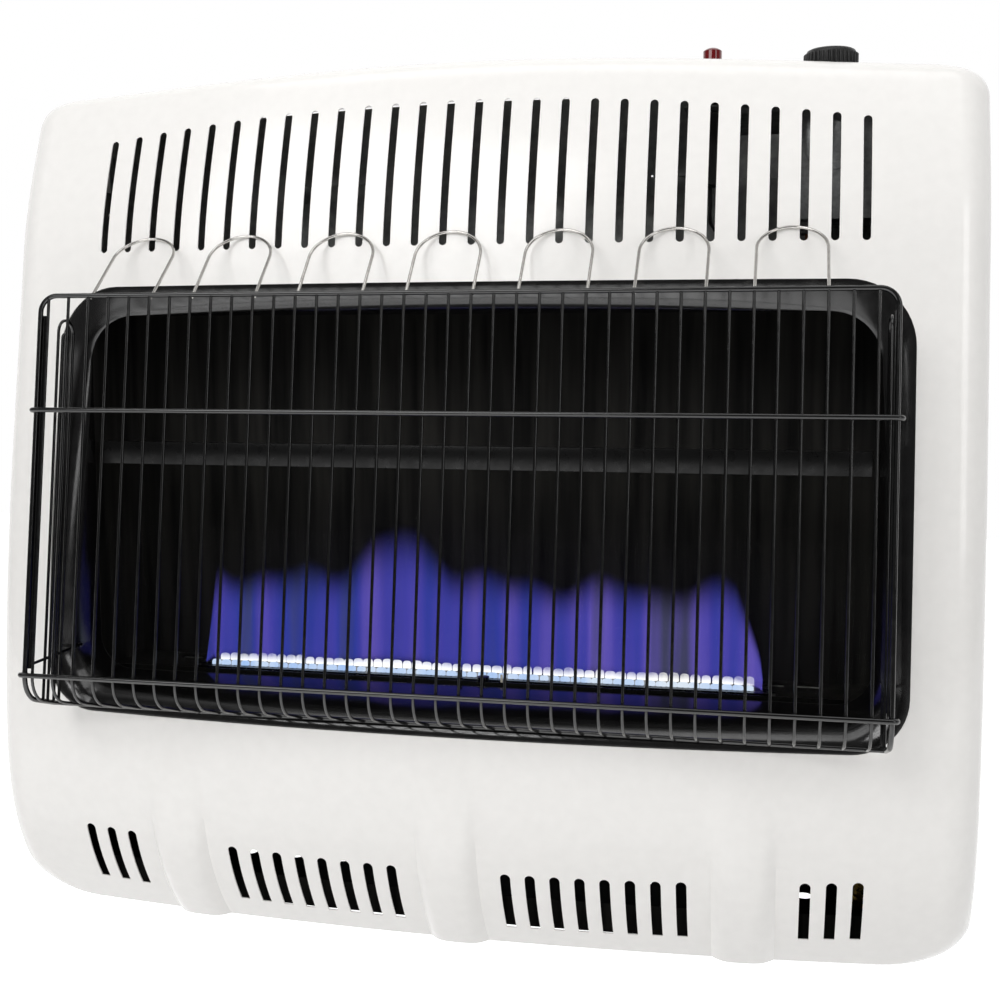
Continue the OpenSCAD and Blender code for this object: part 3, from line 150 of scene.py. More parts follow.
METAL = {"Metallic": 1.0}
finishes = {
    # Baked white enamel: sprayed and fused, so it is glossy with a faint orange peel that softens reflections
    "white_enamel": plain_finish("baked_white_enamel", ("f4f2ef", "f1efec"), (0.13, 0.18), 9.0,
                                 {"Specular IOR Level": 0.5}, 0.006),
    "white_screw": plain_finish("painted_screw_head", ("eceae6", "e2dfda"), (0.25, 0.35), 2.0),
    # Black stove enamel on the pressed surround
    "black_enamel": plain_finish("black_stove_enamel", ("050505", "080707"), (0.14, 0.2), 12.0,
                                 {"Specular IOR Level": 1.0}, 0.004),
    # Heat resistant paint inside the firebox, dulled by heat
    "black_paint": plain_finish("heat_resistant_paint", ("0d0d0d", "2b2a28"), (0.62, 0.78), 9.0,
                                {"Specular IOR Level": 0.06}, 0.03, (1.0, 1.0, 0.06)),
    "black_wire": plain_finish("black_dipped_wire", ("040404", "070707"), (0.12, 0.2), 6.0,
                               {"Specular IOR Level": 0.75}, 0.004),
    "bright_wire": plain_finish("nickel_plated_wire", ("c9c7c3", "b7b4b0"), (0.12, 0.22), 5.0, METAL),
    "zinc_steel": plain_finish("zinc_plated_steel", ("a9aaa8", "8f908e"), (0.3, 0.45), 7.0, METAL),
    "dark_steel": plain_finish("heat_blackened_steel", ("353535", "2a2a2a"), (0.24, 0.36), 9.0, METAL),
    "aluminium": plain_finish("die_cast_aluminium", ("a5a6a6", "8e8f8f"), (0.38, 0.52), 3.0, METAL, 0.03),
    "brass": plain_finish("turned_brass", ("c7a455", "ab8740"), (0.24, 0.36), 4.0, METAL),
    "copper": plain_finish("drawn_copper", ("b87a55", "93583a"), (0.28, 0.42), 6.0, METAL),
    "ceramic": plain_finish("glazed_ceramic", ("ece7dc", "e2dccf"), (0.15, 0.22), 4.0),
    "rubber": plain_finish("moulded_rubber", ("141414", "1b1b1b"), (0.6, 0.75), 2.0, None, 0.02),
    "black_plastic": plain_finish("moulded_black_plastic", ("0d0d0d", "131313"), (0.38, 0.5), 1.2, None, 0.015),
    "red_plastic": plain_finish("moulded_red_plastic", ("5d0a0d", "6a0d10"), (0.1, 0.16), 3.0, {"Coat Weight": 0.4}),
}


def glass_finish():
    """Ceramic glass: thin and flat, clear with a faint grey cast; it mirrors only at its Fresnel share."""
    material, tree, surface, place = new_material("ceramic_glass", {
        "Base Color": (0, 0, 0, 1), "Roughness": 0.02, "IOR": 1.45})
    output = next(n for n in tree.nodes if n.type == "OUTPUT_MATERIAL")
    clear = add_node(tree, "ShaderNodeBsdfTransparent", {"Color": hex_colour("f4f4f2")})
    tree.links.new(ramp(tree, noise(tree, place, 30.0), 0.3, 0.7, 0.0, 0.05), surface.inputs["Roughness"])
    # Light passes straight on, so a ray that leaves the pane from inside isn't mirrored
    outside = ramp(tree, add_node(tree, "ShaderNodeNewGeometry").outputs["Backfacing"], 0, 1, 1, 0)
    sheen = add_node(tree, "ShaderNodeMath", {"operation": "MULTIPLY"},
                     {0: add_node(tree, "ShaderNodeFresnel", {"IOR": 1.45}).outputs["Fac"], 1: outside})
    mixed = add_node(tree, "ShaderNodeMixShader", None, {"Fac": sheen.outputs["Value"]})
    tree.links.new(clear.outputs["BSDF"], mixed.inputs[1])
    tree.links.new(surface.outputs["BSDF"], mixed.inputs[2])
    tree.links.new(mixed.outputs["Shader"], output.inputs["Surface"])
    return material


finishes["glass"] = glass_finish()


for part in frame["record"]["subparts"]:
    finish = finishes[part["material_slot"]]
    node = nodes[part["node"]]
    if not node.material_slots:
        node.data.materials.append(finish)
    for place in node.material_slots:
        place.material = finish


# ---- The pressed front's curves, in mm from the middle of the bracket's screws ----

TOP_Z, HEIGHT, WIDTH, SHEET = 87.3, 647.5, 730.5, 1.0
EDGE_R, TOP_CORNER_R, BOTTOM_CORNER_R, TOP_EDGE_R = 27.5, 21.5, 39.0, 11.5
BACK_GAP = 4.0
SHOULDER, CHIN = 136.2, 509.5
FRONT_PROFILE = ((0.0, 158.0, 0.36), (SHOULDER, 197.6, 0.15), (CHIN, 243.5, 0.0), (HEIGHT, 193.0, -0.9))
FLUTES = (-208.0, 0.0, 208.0)
FLUTE_W, FLUTE_OUT, FLUTE_TOP = 44.0, 8.5, CHIN - 20
OPENING_X, OPENING_TOP, OPENING_BOTTOM, OPENING_R, OPENING_LOW_R = 315.0, -74.7, -392.7, 46.0, 38.0
KNOB_X, BUTTON_X, CONTROL_Y = 256.0, 172.0, 115.0


def mix(a, b, t):
    return a + (b - a) * t


def steps(a, b, count):
    """Evenly spaced values from a up to, but without, b."""
    return [mix(a, b, i / count) for i in range(count)]


def smooth(t):
    t = min(1.0, max(0.0, t))
    return t * t * (3 - 2 * t)


def front_depth(drop):
    """Distance of the front's middle line from the wall."""
    piece = 0 if drop < SHOULDER else 1 if drop < CHIN else 2
    (d0, y0, s0), (d1, y1, s1) = FRONT_PROFILE[piece:piece + 2]
    h = d1 - d0
    t = (drop - d0) / h
    return ((2 * t ** 3 - 3 * t ** 2 + 1) * y0 + (t ** 3 - 2 * t ** 2 + t) * h * s0
            + (3 * t ** 2 - 2 * t ** 3) * y1 + (t ** 3 - t ** 2) * h * s1)


def bow(x, drop):
    return mix(21.0, 17.5, drop / HEIGHT) * (x / 300.0) ** 2


def arch(x):
    s = (x / 300.0) ** 2
    return 10.0 * s - 3.8 * s * (s - 1)


def top_at(x):
    return TOP_Z - arch(x)


def front_y(x, z):
    return bow(x, TOP_Z - z) - front_depth(TOP_Z - z)


def flute(x, drop):
    rise = FLUTE_OUT * smooth((drop - FLUTE_TOP) / (HEIGHT - FLUTE_TOP - 30))
    across = [abs(x - c) / (FLUTE_W / 2) for c in FLUTES]
    return rise * max(math.cos(math.pi / 2 * u * u) if u < 1 else 0.0 for u in across)


def inset(drop, r):
    return 0.0 if drop >= r else r - math.sqrt(r * r - (r - drop) ** 2)


SIDE_STEPS, CORNER_STEPS, OUTER_STEPS = 4, 12, 10
front_marks = [v for c in FLUTES for v in
               steps(c - FLUTE_W / 2, c + FLUTE_W / 2, 16)
               + (steps(c + FLUTE_W / 2, c + 208 - FLUTE_W / 2, 16) if c < 208 else [c + FLUTE_W / 2])]
levels = ([0, 0.1, 0.4, 0.9, 1.7, 2.8, 4.3, 6.2, 8.6, 11.5, 14.5, 18]
          + steps(TOP_CORNER_R, FLUTE_TOP, 72)
          + steps(FLUTE_TOP, HEIGHT - BOTTOM_CORNER_R, 24)
          + [HEIGHT - BOTTOM_CORNER_R * (1 - math.sin(math.radians(7.5 * i))) for i in range(13)])


def casing_ring(drop):
    """One line round the casing at a drop from the top: left back edge, front, right back edge."""
    half = WIDTH / 2 - inset(drop, TOP_CORNER_R) - inset(HEIGHT - drop, BOTTOM_CORNER_R)
    flat = half - EDGE_R
    depth = front_depth(drop) - inset(drop, TOP_EDGE_R)
    fall = smooth((SHOULDER + 10 - drop) / (SHOULDER + 10))
    start = bow(flat, drop) - depth + EDGE_R
    side = [(half, mix(-BACK_GAP, start, i / SIDE_STEPS)) for i in range(SIDE_STEPS)]
    corner = [(flat + EDGE_R * math.cos(a), start - EDGE_R * math.sin(a))
              for a in (math.pi / 2 * i / CORNER_STEPS for i in range(CORNER_STEPS))]
    outer = [(x, bow(x, drop) - depth) for x in steps(flat, front_marks[-1], OUTER_STEPS)]
    left = [(-x, y) for x, y in side + corner + outer]
    middle = [(x, bow(x, drop) - depth - flute(x, drop)) for x in front_marks]
    right = [(-x, y) for x, y in reversed(left)]
    return [(x, y, TOP_Z - drop - arch(x) * fall) for x, y in left + middle + right]


# ---- Modelling helpers ----

def clear_selection():
    bpy.ops.object.select_all(action="DESELECT")


def only(piece):
    clear_selection()
    piece.select_set(True)
    bpy.context.view_layer.objects.active = piece
    return piece


def named(name):
    piece = bpy.context.active_object
    piece.name = piece.data.name = name
    return piece


def grid_piece(name, rows):
    """A grid primitive whose vertices are drawn to the given rows of points, in mm."""
    clear_selection()
    across, down = len(rows[0]), len(rows)
    bpy.ops.mesh.primitive_grid_add(x_subdivisions=across - 1, y_subdivisions=down - 1, size=1)
    piece = named(name)
    points = [Vector(p) * MM for row in rows for p in row]
    assert len(points) == len(piece.data.vertices)
    for vertex, point in zip(piece.data.vertices, points):
        vertex.co = point
    return piece


def joined(name, pieces):
    clear_selection()
    for piece in pieces:
        piece.select_set(True)
    bpy.context.view_layer.objects.active = pieces[0]
    if len(pieces) > 1:
        bpy.ops.object.join()
    return named(name)


def in_edit(piece, *jobs):
    """Runs edit-mode jobs with everything selected."""
    only(piece)
    bpy.ops.object.mode_set(mode="EDIT")
    bpy.ops.mesh.select_all(action="SELECT")
    for job in jobs:
        job()
    bpy.ops.object.mode_set(mode="OBJECT")
    return piece


def tidy_faces(piece, gap_mm=0.01):
    return in_edit(piece, lambda: bpy.ops.mesh.remove_doubles(threshold=gap_mm * MM),
                   lambda: bpy.ops.mesh.normals_make_consistent(inside=False))


def modify(piece, kind, **settings):
    only(piece)
    modifier = piece.modifiers.new(kind.lower(), kind)
    for name, value in settings.items():
        setattr(modifier, name, value)
    bpy.ops.object.modifier_apply(modifier=modifier.name)
    return piece


def smooth_by_angle(piece, degrees=35):
    only(piece)
    bpy.ops.object.shade_smooth_by_angle(angle=math.radians(degrees))
    return piece


def cut(piece, cutter):
    modify(piece, "BOOLEAN", operation="DIFFERENCE", object=cutter, solver="EXACT")
    bpy.data.objects.remove(cutter)
    return piece


def extrude_y(piece, far_mm):
    """Extrudes a flat face along Y."""
    return in_edit(piece, lambda: bpy.ops.mesh.extrude_region_move(
        TRANSFORM_OT_translate={"value": (0, far_mm * MM, 0)}),
        lambda: bpy.ops.mesh.select_all(action="SELECT"),
        lambda: bpy.ops.mesh.normals_make_consistent(inside=False))


def slot_cutter(x, low, width, length, round_bottom=True):
    """A slot's punch, pushed through the front from y -260 to y -100."""
    clear_selection()
    bpy.ops.mesh.primitive_circle_add(vertices=24, radius=width / 2 * MM, fill_type="NGON",
                                      rotation=(math.pi / 2, 0, 0))
    bpy.ops.object.transform_apply(rotation=True)
    punch = bpy.context.active_object
    r = width / 2
    for vertex in punch.data.vertices:
        px, pz = vertex.co.x / MM, vertex.co.z / MM
        if pz >= 0:
            pz += length - r
        elif round_bottom:
            pz += r
        else:
            px, pz = math.copysign(r, px), 0.0
        vertex.co = Vector((x + px, -260, low + pz)) * MM
    in_edit(punch, lambda: bpy.ops.mesh.remove_doubles(threshold=1e-6))
    return extrude_y(punch, 160)


def rod_cutter(a, b, diameter, sides=48):
    """A round punch between two points in mm."""
    a, b = Vector(a) * MM, Vector(b) * MM
    clear_selection()
    bpy.ops.mesh.primitive_cylinder_add(vertices=sides, radius=diameter / 2 * MM, depth=(b - a).length,
                                        location=(a + b) / 2, rotation=(b - a).to_track_quat("Z", "Y").to_euler())
    bpy.ops.object.transform_apply(location=True, rotation=True)
    return bpy.context.active_object


def sheet_punch(points):
    """A punch with the given outline in X and Z, pushed through the front from y -300 to y -100."""
    clear_selection()
    bpy.ops.mesh.primitive_circle_add(vertices=len(points), radius=0.3, fill_type="NGON", rotation=(math.pi / 2, 0, 0))
    bpy.ops.object.transform_apply(rotation=True)
    punch = bpy.context.active_object
    for vertex, (x, z) in zip(punch.data.vertices, points):
        vertex.co = Vector((x, -300, z)) * MM
    return extrude_y(punch, 200)


def outline(half, low, high, r, q, straight_x=40, straight_z=20, corner=12):
    """Points round a rectangle in X and Z, anticlockwise from the low left; its lower corners have radius q."""
    across, low_across = half - r, half - q
    arc = lambda cx, cz, size, a0: [(cx + size * math.cos(math.radians(a)), cz + size * math.sin(math.radians(a)))
                                    for a in steps(a0, a0 + 90, corner)]
    return ([(x, low) for x in steps(-low_across, low_across, straight_x)] + arc(low_across, low + q, q, -90)
            + [(half, z) for z in steps(low + q, high - r, straight_z)] + arc(across, high - r, r, 0)
            + [(x, high) for x in steps(across, -across, straight_x)] + arc(-across, high - r, r, 90)
            + [(-half, z) for z in steps(high - r, low + q, straight_z)] + arc(-low_across, low + q, q, 180))


SLOTS_UP = [((i - 13.5) * 20.8, 105 - 21 * ((i - 13.5) * 20.8 / 300) ** 2) for i in range(28)]
SLOTS_LOW = ([s * 104 + (i - 3.5) * 17.7 for s in (-1, 1) for i in range(8)]
             + [s * 267.6 + (i - 1) * 17.7 for s in (-1, 1) for i in range(3)])
SCREW_DROPS = (90.0, HEIGHT / 2, HEIGHT - 90)


def make_casing():
    rows = [casing_ring(drop) for drop in levels]
    front = grid_piece("casing_front", rows)
    ring = rows[0]
    top_line = ring[SIDE_STEPS:len(ring) - SIDE_STEPS]
    top = grid_piece("casing_top", [[(x, mix(-BACK_GAP, y, k / SIDE_STEPS), z) for x, y, z in top_line]
                                    for k in range(SIDE_STEPS + 1)])
    casing = tidy_faces(joined("casing_shell", [front, top]))
    modify(casing, "SOLIDIFY", thickness=SHEET * MM, offset=-1.0, use_even_offset=True)
    punches = [slot_cutter(x, TOP_Z - SHOULDER, 5.8, length) for x, length in SLOTS_UP]
    punches += [slot_cutter(x, TOP_Z - HEIGHT + 18 + 10 * (x / 300) ** 2, 7.4, 49.7, False) for x in SLOTS_LOW]
    punches.append(sheet_punch(outline(OPENING_X, OPENING_BOTTOM, OPENING_TOP, OPENING_R, OPENING_LOW_R)))
    punches.append(rod_cutter((KNOB_X, -CONTROL_Y, 50), (KNOB_X, -CONTROL_Y, 110), 41.5, 96))
    punches.append(rod_cutter((BUTTON_X, -CONTROL_Y, 50), (BUTTON_X, -CONTROL_Y, 110), 16.2))
    for side in (-1, 1):
        for drop in SCREW_DROPS:
            punches.append(rod_cutter((side * 350, -14, TOP_Z - drop), (side * 380, -14, TOP_Z - drop), 4.2, 24))
    cut(casing, joined("punches", punches))
    return smooth_by_angle(casing, 30)


# ---- Surround ----

SURROUND_T, SURROUND_FLANGE, SURROUND_IN, FACE_DEPTH, THROAT_CLEAR = 1.2, 9.0, 22.0, 180.0, 0.4
INNER_X, INNER_TOP, INNER_BOTTOM = OPENING_X - 22, OPENING_TOP - 22, OPENING_BOTTOM + 22
INNER_R, INNER_LOW_R = OPENING_R - 12, OPENING_LOW_R - 12
TIE_X, TIE_Z = 298.1, -347.7
STUD_XS, STUD_ZS = (-200, 0, 200), (OPENING_TOP + 4.5, OPENING_BOTTOM - 4.5)


def surround_loop(narrowed, sunk, outwards, back):
    """A loop of the surround, from the casing (0) to the firebox (1)."""
    wide = outline(OPENING_X - THROAT_CLEAR + outwards, OPENING_BOTTOM + THROAT_CLEAR - outwards,
                   OPENING_TOP - THROAT_CLEAR + outwards, OPENING_R + outwards, OPENING_LOW_R + outwards)
    deep = outline(INNER_X + outwards, INNER_BOTTOM - outwards, INNER_TOP + outwards, INNER_R + outwards,
                   INNER_LOW_R + outwards)
    loop = []
    for (ax, az), (bx, bz) in zip(wide, deep):
        y = mix(front_y(ax, az) + SHEET + 0.5, -FACE_DEPTH, sunk) + back
        loop.append((mix(ax, bx, narrowed), y, mix(az, bz, narrowed)))
    return loop + loop[:1]


def make_surround():
    turns = [math.pi / 2 * k / 16 for k in range(17)]
    shown = [surround_loop(0, 0, SURROUND_FLANGE, 0)] + [surround_loop(math.sin(a), 1 - math.cos(a), 0, 0) for a in turns]
    t = SURROUND_T
    hidden = [surround_loop(0, 0, SURROUND_FLANGE, t)] + [
        surround_loop(math.sin(a), 1 - math.cos(a), t * math.sin(a), t * math.cos(a)) for a in turns]
    surround = tidy_faces(grid_piece("surround_pressing", shown + hidden[::-1] + shown[:1]))
    punches = [rod_cutter((x, -300, z), (x, -150, z), 3.6, 24) for x in STUD_XS for z in STUD_ZS]
    punches += [rod_cutter((s * TIE_X, -300, TIE_Z), (s * TIE_X, -150, TIE_Z), 2.8, 24) for s in (-1, 1)]
    cut(surround, joined("punches", punches))
    return smooth_by_angle(surround, 40)


# ---- Guard ----

BAR_D, WIRE_D, WIRE_COUNT, WIRE_PITCH, WIRE_SHIFT, WELD = 3.6, 2.2, 38, 15.65, -3.0, 0.25
GUARD_X = 298.8
BAR_STEP = BAR_D - WELD
TOP_BAR_Z, LOW_BAR_Z = OPENING_TOP - 9, OPENING_BOTTOM + 39
MID_BAR_Z = TOP_BAR_Z - 82


def flat(y, z):
    return Vector((y, z))


GUARD_TOP = flat(front_y(0, TOP_BAR_Z) - 37, TOP_BAR_Z)
GUARD_LOW = flat(front_y(0, LOW_BAR_Z) - 43 + BAR_STEP, LOW_BAR_Z)
DOWN = (GUARD_LOW - GUARD_TOP).normalized()
IN = flat(-DOWN.y, DOWN.x)
BEND, TURN = 20.0, math.radians(80)
HEEL = GUARD_LOW + DOWN * 16.5
BACK_DIR = DOWN * math.cos(TURN) + IN * math.sin(TURN)
BACK_IN = IN * math.cos(TURN) - DOWN * math.sin(TURN)
REAR = HEEL + BACK_DIR * 44.5
RAIL_D = BAR_D - 0.4


def at_x(x, p):
    return Vector((x, p.x, p.y))


def guard_at(z, inwards):
    return GUARD_TOP + DOWN * ((z - GUARD_TOP.y) / DOWN.y) + IN * inwards


def run_z(y):
    return HEEL.y + (y - HEEL.x) * BACK_DIR.y / BACK_DIR.x


def bent_line(corners, radius, bend_steps=10):
    """Middle line of a wire bent at its inner corners; radius is one or a list."""
    radii = radius if isinstance(radius, (list, tuple)) else [radius] * (len(corners) - 2)
    line = [corners[0]]
    for before, here, after, r in zip(corners, corners[1:], corners[2:], radii):
        w, w2 = (here - before).normalized(), (after - here).normalized()
        angle = w.angle(w2)
        u = (w2 - w * w.dot(w2)).normalized()
        start = here - w * r * math.tan(angle / 2)
        centre = start + u * r
        for k in range(bend_steps + 1):
            b = angle * k / bend_steps
            line.append(centre - u * r * math.cos(b) + w * r * math.sin(b))
    return line + [corners[-1]]


def wire_piece(name, lines, diameter, sides_level=4):
    """Round wires along lines in mm: paths given a round section, then made a mesh."""
    clear_selection()
    bpy.ops.curve.primitive_nurbs_path_add()
    wires = bpy.context.active_object
    wires.name = name
    data = wires.data
    data.splines.clear()
    data.dimensions = "3D"
    data.bevel_depth = diameter / 2 * MM
    data.bevel_resolution = sides_level
    data.use_fill_caps = True
    for line in lines:
        spline = data.splines.new("POLY")
        spline.points.add(len(line) - 1)
        for point, place in zip(spline.points, line):
            point.co = (*(place * MM), 1)
    wires.location = (0, 0, 0)
    bpy.ops.object.convert(target="MESH")
    wires = named(name)
    tidy_faces(wires, 0.002)
    return smooth_by_angle(wires, 50)


def make_guard():
    side = [at_x(GUARD_X, REAR), at_x(GUARD_X, HEEL), at_x(GUARD_X, GUARD_TOP)]
    mirrored = [Vector((-p.x, p.y, p.z)) for p in reversed(side)]
    rail = [Vector((s * (GUARD_X + 1), REAR.x, REAR.y)) for s in (-1, 1)]
    made = {}
    loop = wire_piece("guard_frame_wire", [bent_line(side + mirrored, [BEND, 12, 12, BEND])], BAR_D, 6)
    bar = wire_piece("guard_rail_wire", [rail], RAIL_D, 6)
    made["guard_frame"] = joined("guard_frame_wires", [loop, bar])
    made["guard_wires"] = wire_piece("guard_uprights", [
        bent_line(upright_corners(WIRE_SHIFT + (i - (WIRE_COUNT - 1) / 2) * WIRE_PITCH), BEND, 8)
        for i in range(WIRE_COUNT)], WIRE_D, 4)
    end = GUARD_X + BAR_STEP
    bars = []
    for z in (MID_BAR_Z, LOW_BAR_Z):
        tail, front = guard_at(z, 7), guard_at(z, -BAR_STEP)
        bars.append(bent_line([at_x(-end, tail), at_x(-end, front), at_x(end, front), at_x(end, tail)], 4))
    made["guard_bars"] = wire_piece("guard_crossbars", bars, BAR_D, 6)
    pins, legs = [], []
    hairpin_x = GUARD_X - (BAR_D + WIRE_D) / 2 + WELD
    for s in (-1, 1):
        for back0, back1, top, r in ((21, 42, TOP_BAR_Z - 17, 10), (27, 35, TOP_BAR_Z - 27, 3.7)):
            x, front = s * hairpin_x, guard_at(top, 0).x
            low0, low1 = (guard_at(HEEL.y, 0).x + back for back in (back0, back1))
            pins.append(bent_line([Vector((x, low0, run_z(low0) + 1)), Vector((x, front + back0, top)),
                                   Vector((x, front + back1, top)), Vector((x, low1, run_z(low1) + 1))], r))
        leg_x, leg_back = s * (GUARD_X - 1.6), math.sqrt(BAR_STEP ** 2 - 1.6 ** 2)
        legs.append([at_x(leg_x, guard_at(TOP_BAR_Z - 14, leg_back)),
                     at_x(leg_x, HEEL - DOWN * (BEND + 1) + IN * leg_back)])
    made["guard_hairpins"] = joined("guard_side_wires", [wire_piece("guard_hairpin_wire", pins, WIRE_D, 4),
                                                         wire_piece("guard_leg_wire", legs, BAR_D, 6)])
    y0, y1 = guard_at(TIE_Z, 0).x + BAR_STEP + BAR_D / 2, mix(front_y(OPENING_X, TIE_Z), -FACE_DEPTH, 0.4)
    made["guard_ties"] = wire_piece("guard_tie_wires", [[Vector((s * TIE_X, y, TIE_Z)) for y in (y0, y1)] for s in (-1, 1)],
                                    2.2, 4)
    loops = []
    half = 1.5 * WIRE_PITCH
    for i in range(7):
        x = WIRE_SHIFT + (i - 3) * 5 * WIRE_PITCH
        top = TOP_BAR_Z + 44
        rest = flat(front_y(x, top) - WIRE_D / 2 - 0.3, top)
        first = (rest - GUARD_TOP).normalized()
        up = (rest - flat(first.y, -first.x) * (BAR_D + WIRE_D) / 2 - GUARD_TOP).normalized()
        foot = GUARD_TOP + flat(up.y, -up.x) * ((BAR_D + WIRE_D) / 2 - WELD)
        loops.append(bent_line([at_x(x - half, foot), at_x(x - half, rest), at_x(x + half, rest), at_x(x + half, foot)],
                               half - 0.2, 24))
    made["guard_loops"] = wire_piece("stand_off_loops", loops, WIRE_D, 4)
    return made


def upright_corners(x, inwards=-0.6):
    tight = inwards * math.tan(TURN / 2)
    return [at_x(x, REAR + BACK_IN * inwards - BACK_DIR * (RAIL_D / 2 - WELD)),
            at_x(x, HEEL + IN * inwards - DOWN * tight),
            at_x(x, GUARD_TOP + DOWN * (BAR_D / 2 - WELD) + IN * inwards)]


# ---- Burner flames ----

def flame_material(name, strength, palette, rooting, fading):
    """Burning gas: it only glows, its tone and density drift between neighbouring ports, and it thins out to its tip.

    The palette's stops are evenly spaced over the noise. Rooting and fading are the shares of its own height over
    which the flame appears and disappears.
    """
    material, tree, surface, place = new_material(name, {
        "Base Color": (0, 0, 0, 1), "Roughness": 1.0, "Specular IOR Level": 0.0, "Emission Strength": strength})
    height = add_node(tree, "ShaderNodeSeparateXYZ", None, {
        "Vector": add_node(tree, "ShaderNodeUVMap", {"uv_map": "UVMap"}).outputs["UV"]}).outputs["Y"]
    drift = ramp(tree, noise(tree, place, 24.0, 1.5, (1.0, 0.1, 0.03)), 0.3, 0.7, 0.0, 1.0)
    bands = add_node(tree, "ShaderNodeValToRGB", None, {"Fac": drift})
    for k, (tone, density) in enumerate(palette):
        stop = bands.color_ramp.elements[k] if k < 2 else bands.color_ramp.elements.new(1.0)
        stop.position, stop.color = k / (len(palette) - 1), hex_colour(tone, density)
    tree.links.new(bands.outputs["Color"], surface.inputs["Emission Color"])
    thin = add_node(tree, "ShaderNodeMapRange", {
        "interpolation_type": "SMOOTHSTEP", "From Min": fading[0], "From Max": fading[1], "To Min": 1.0, "To Max": 0.0},
        {"Value": height}).outputs["Result"]
    streaks = ramp(tree, noise(tree, place, 5.0, 3.0, (1.0, 1.0, 0.04)), 0.35, 0.65, 0.8, 1.0)
    rooted = ramp(tree, height, *rooting, 0.0, 1.0)
    for factor in (bands.outputs["Alpha"], streaks, rooted):
        thin = add_node(tree, "ShaderNodeMath", {"operation": "MULTIPLY"}, {0: thin, 1: factor}).outputs[0]
    tree.links.new(thin, surface.inputs["Alpha"])
    return material


def set_uv(piece, place):
    """Lays out a piece's own UV from its points in mm."""
    layer = piece.data.uv_layers[0] if piece.data.uv_layers else piece.data.uv_layers.new(name="UVMap")
    for loop in piece.data.loops:
        layer.data[loop.index].uv = place(piece.data.vertices[loop.vertex_index].co / MM)


def port_rows(x, y, z, width, depth, height):
    """Rings of the stub of flame on one port, in mm: upright with a blunt top."""
    rows = []
    for t in (0, 0.25, 0.55, 0.8, 0.93, 1.0):
        grow = max(0.05, (1 - t ** 7) ** 0.5)
        rows.append([(x + width / 2 * grow * math.copysign(abs(math.cos(a)) ** 0.5, math.cos(a)),
                      y + depth / 2 * grow * math.sin(a), z + height * t) for a in (math.pi * j / 6 for j in range(13))])
    return [[(x, y, z)] * 13] + rows + [[(x, y, z + height)] * 13]


FLAME_FOOT, FLAME_REACH = -217.0, 217.5


def flame_height(x):
    """Height of the sheet of flame in mm: taller left of the middle, uneven from port to port, lower at both ends."""
    swell = 34 * math.exp(-((x + 58) / 42) ** 2)
    uneven = 5 * math.sin(x / 13) + 3 * math.sin(x / 7.1 + 1)
    ends = min(1, (x - FLAME_FOOT) / 8) * min(1, (FLAME_REACH - x) / 20) ** 0.6
    return 8 + (70 + swell + uneven) * ends


def make_flames():
    burner_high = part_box("burner_body")[1]
    top, middle = burner_high.z / MM + 0.3, burner_high.y / MM - 15
    draw = random.Random(7)
    rows_of_ports = []
    for row in (-1, 1):
        small = []
        for i in range(53):
            small.append(grid_piece("port_flame", port_rows((i - 26) * 8, middle + row * 8.4, top,
                                                            draw.choice((6.8, 7.6, 8.2)), 4.2,
                                                            draw.uniform(5.0, 6.6) if row > 0 else draw.uniform(3.4, 4.0))))
        rows_of_ports.append(smooth_by_angle(tidy_faces(joined("port_flames", small)), 180))
    foot, reach = FLAME_FOOT, FLAME_REACH
    across = [mix(foot, reach, k / 292) for k in range(293)]
    around = [math.pi * k / 48 for k in range(49)]
    rows = []
    for a in around:
        # Up the front, over the tip and down the back, drawn in towards the tip
        up = math.sin(a) ** 0.35
        rows.append([(x, middle - 9.0 * math.copysign(abs(math.cos(a)) ** 0.6, math.cos(a)) * (1 - 0.35 * up)
                      + 1.2 * math.sin(x / 5.7) * up, top + flame_height(min(reach, max(foot, x))) * up) for x in across])
    curtain = smooth_by_angle(tidy_faces(grid_piece("flame_curtain", rows)), 180)
    for ports in rows_of_ports:
        set_uv(ports, lambda p: (0.5, 0.5))
    set_uv(curtain, lambda p: ((p.x - foot) / (reach - foot), (p.z - top) / flame_height(min(reach, max(foot, p.x)))))
    return rows_of_ports + [curtain]


# ---- Pieces that stand for the solids ----

# Stove enamel inside the firebox is burnt dull
BURNT = {"firebox": "black_paint"}


def dress(piece, finish, *stands_for, body="heater"):
    """Gives a finished piece its finish and body, and hides the solids that it stands for."""
    piece.data.materials.clear()
    piece.data.materials.append(finishes[BURNT.get(stands_for[0], finish)])
    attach(piece, body)
    if stands_for:
        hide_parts(*stands_for)
    return piece


def finished_copy(node, rounding_mm, degrees=35):
    """A copy of a solid's mesh with its triangles merged, its edges rounded and its curves shaded smooth."""
    clear_selection()
    piece = bpy.data.objects.new(node + "_finished", nodes[node].data.copy())
    scene.collection.objects.link(piece)
    in_edit(piece, lambda: bpy.ops.mesh.remove_doubles(threshold=1e-6),
            lambda: bpy.ops.mesh.dissolve_limited(angle_limit=math.radians(0.5)))
    if rounding_mm:
        modify(piece, "BEVEL", width=rounding_mm * MM, segments=2, limit_method="ANGLE",
               angle_limit=math.radians(degrees + 5), use_clamp_overlap=True)
    return smooth_by_angle(piece, degrees)


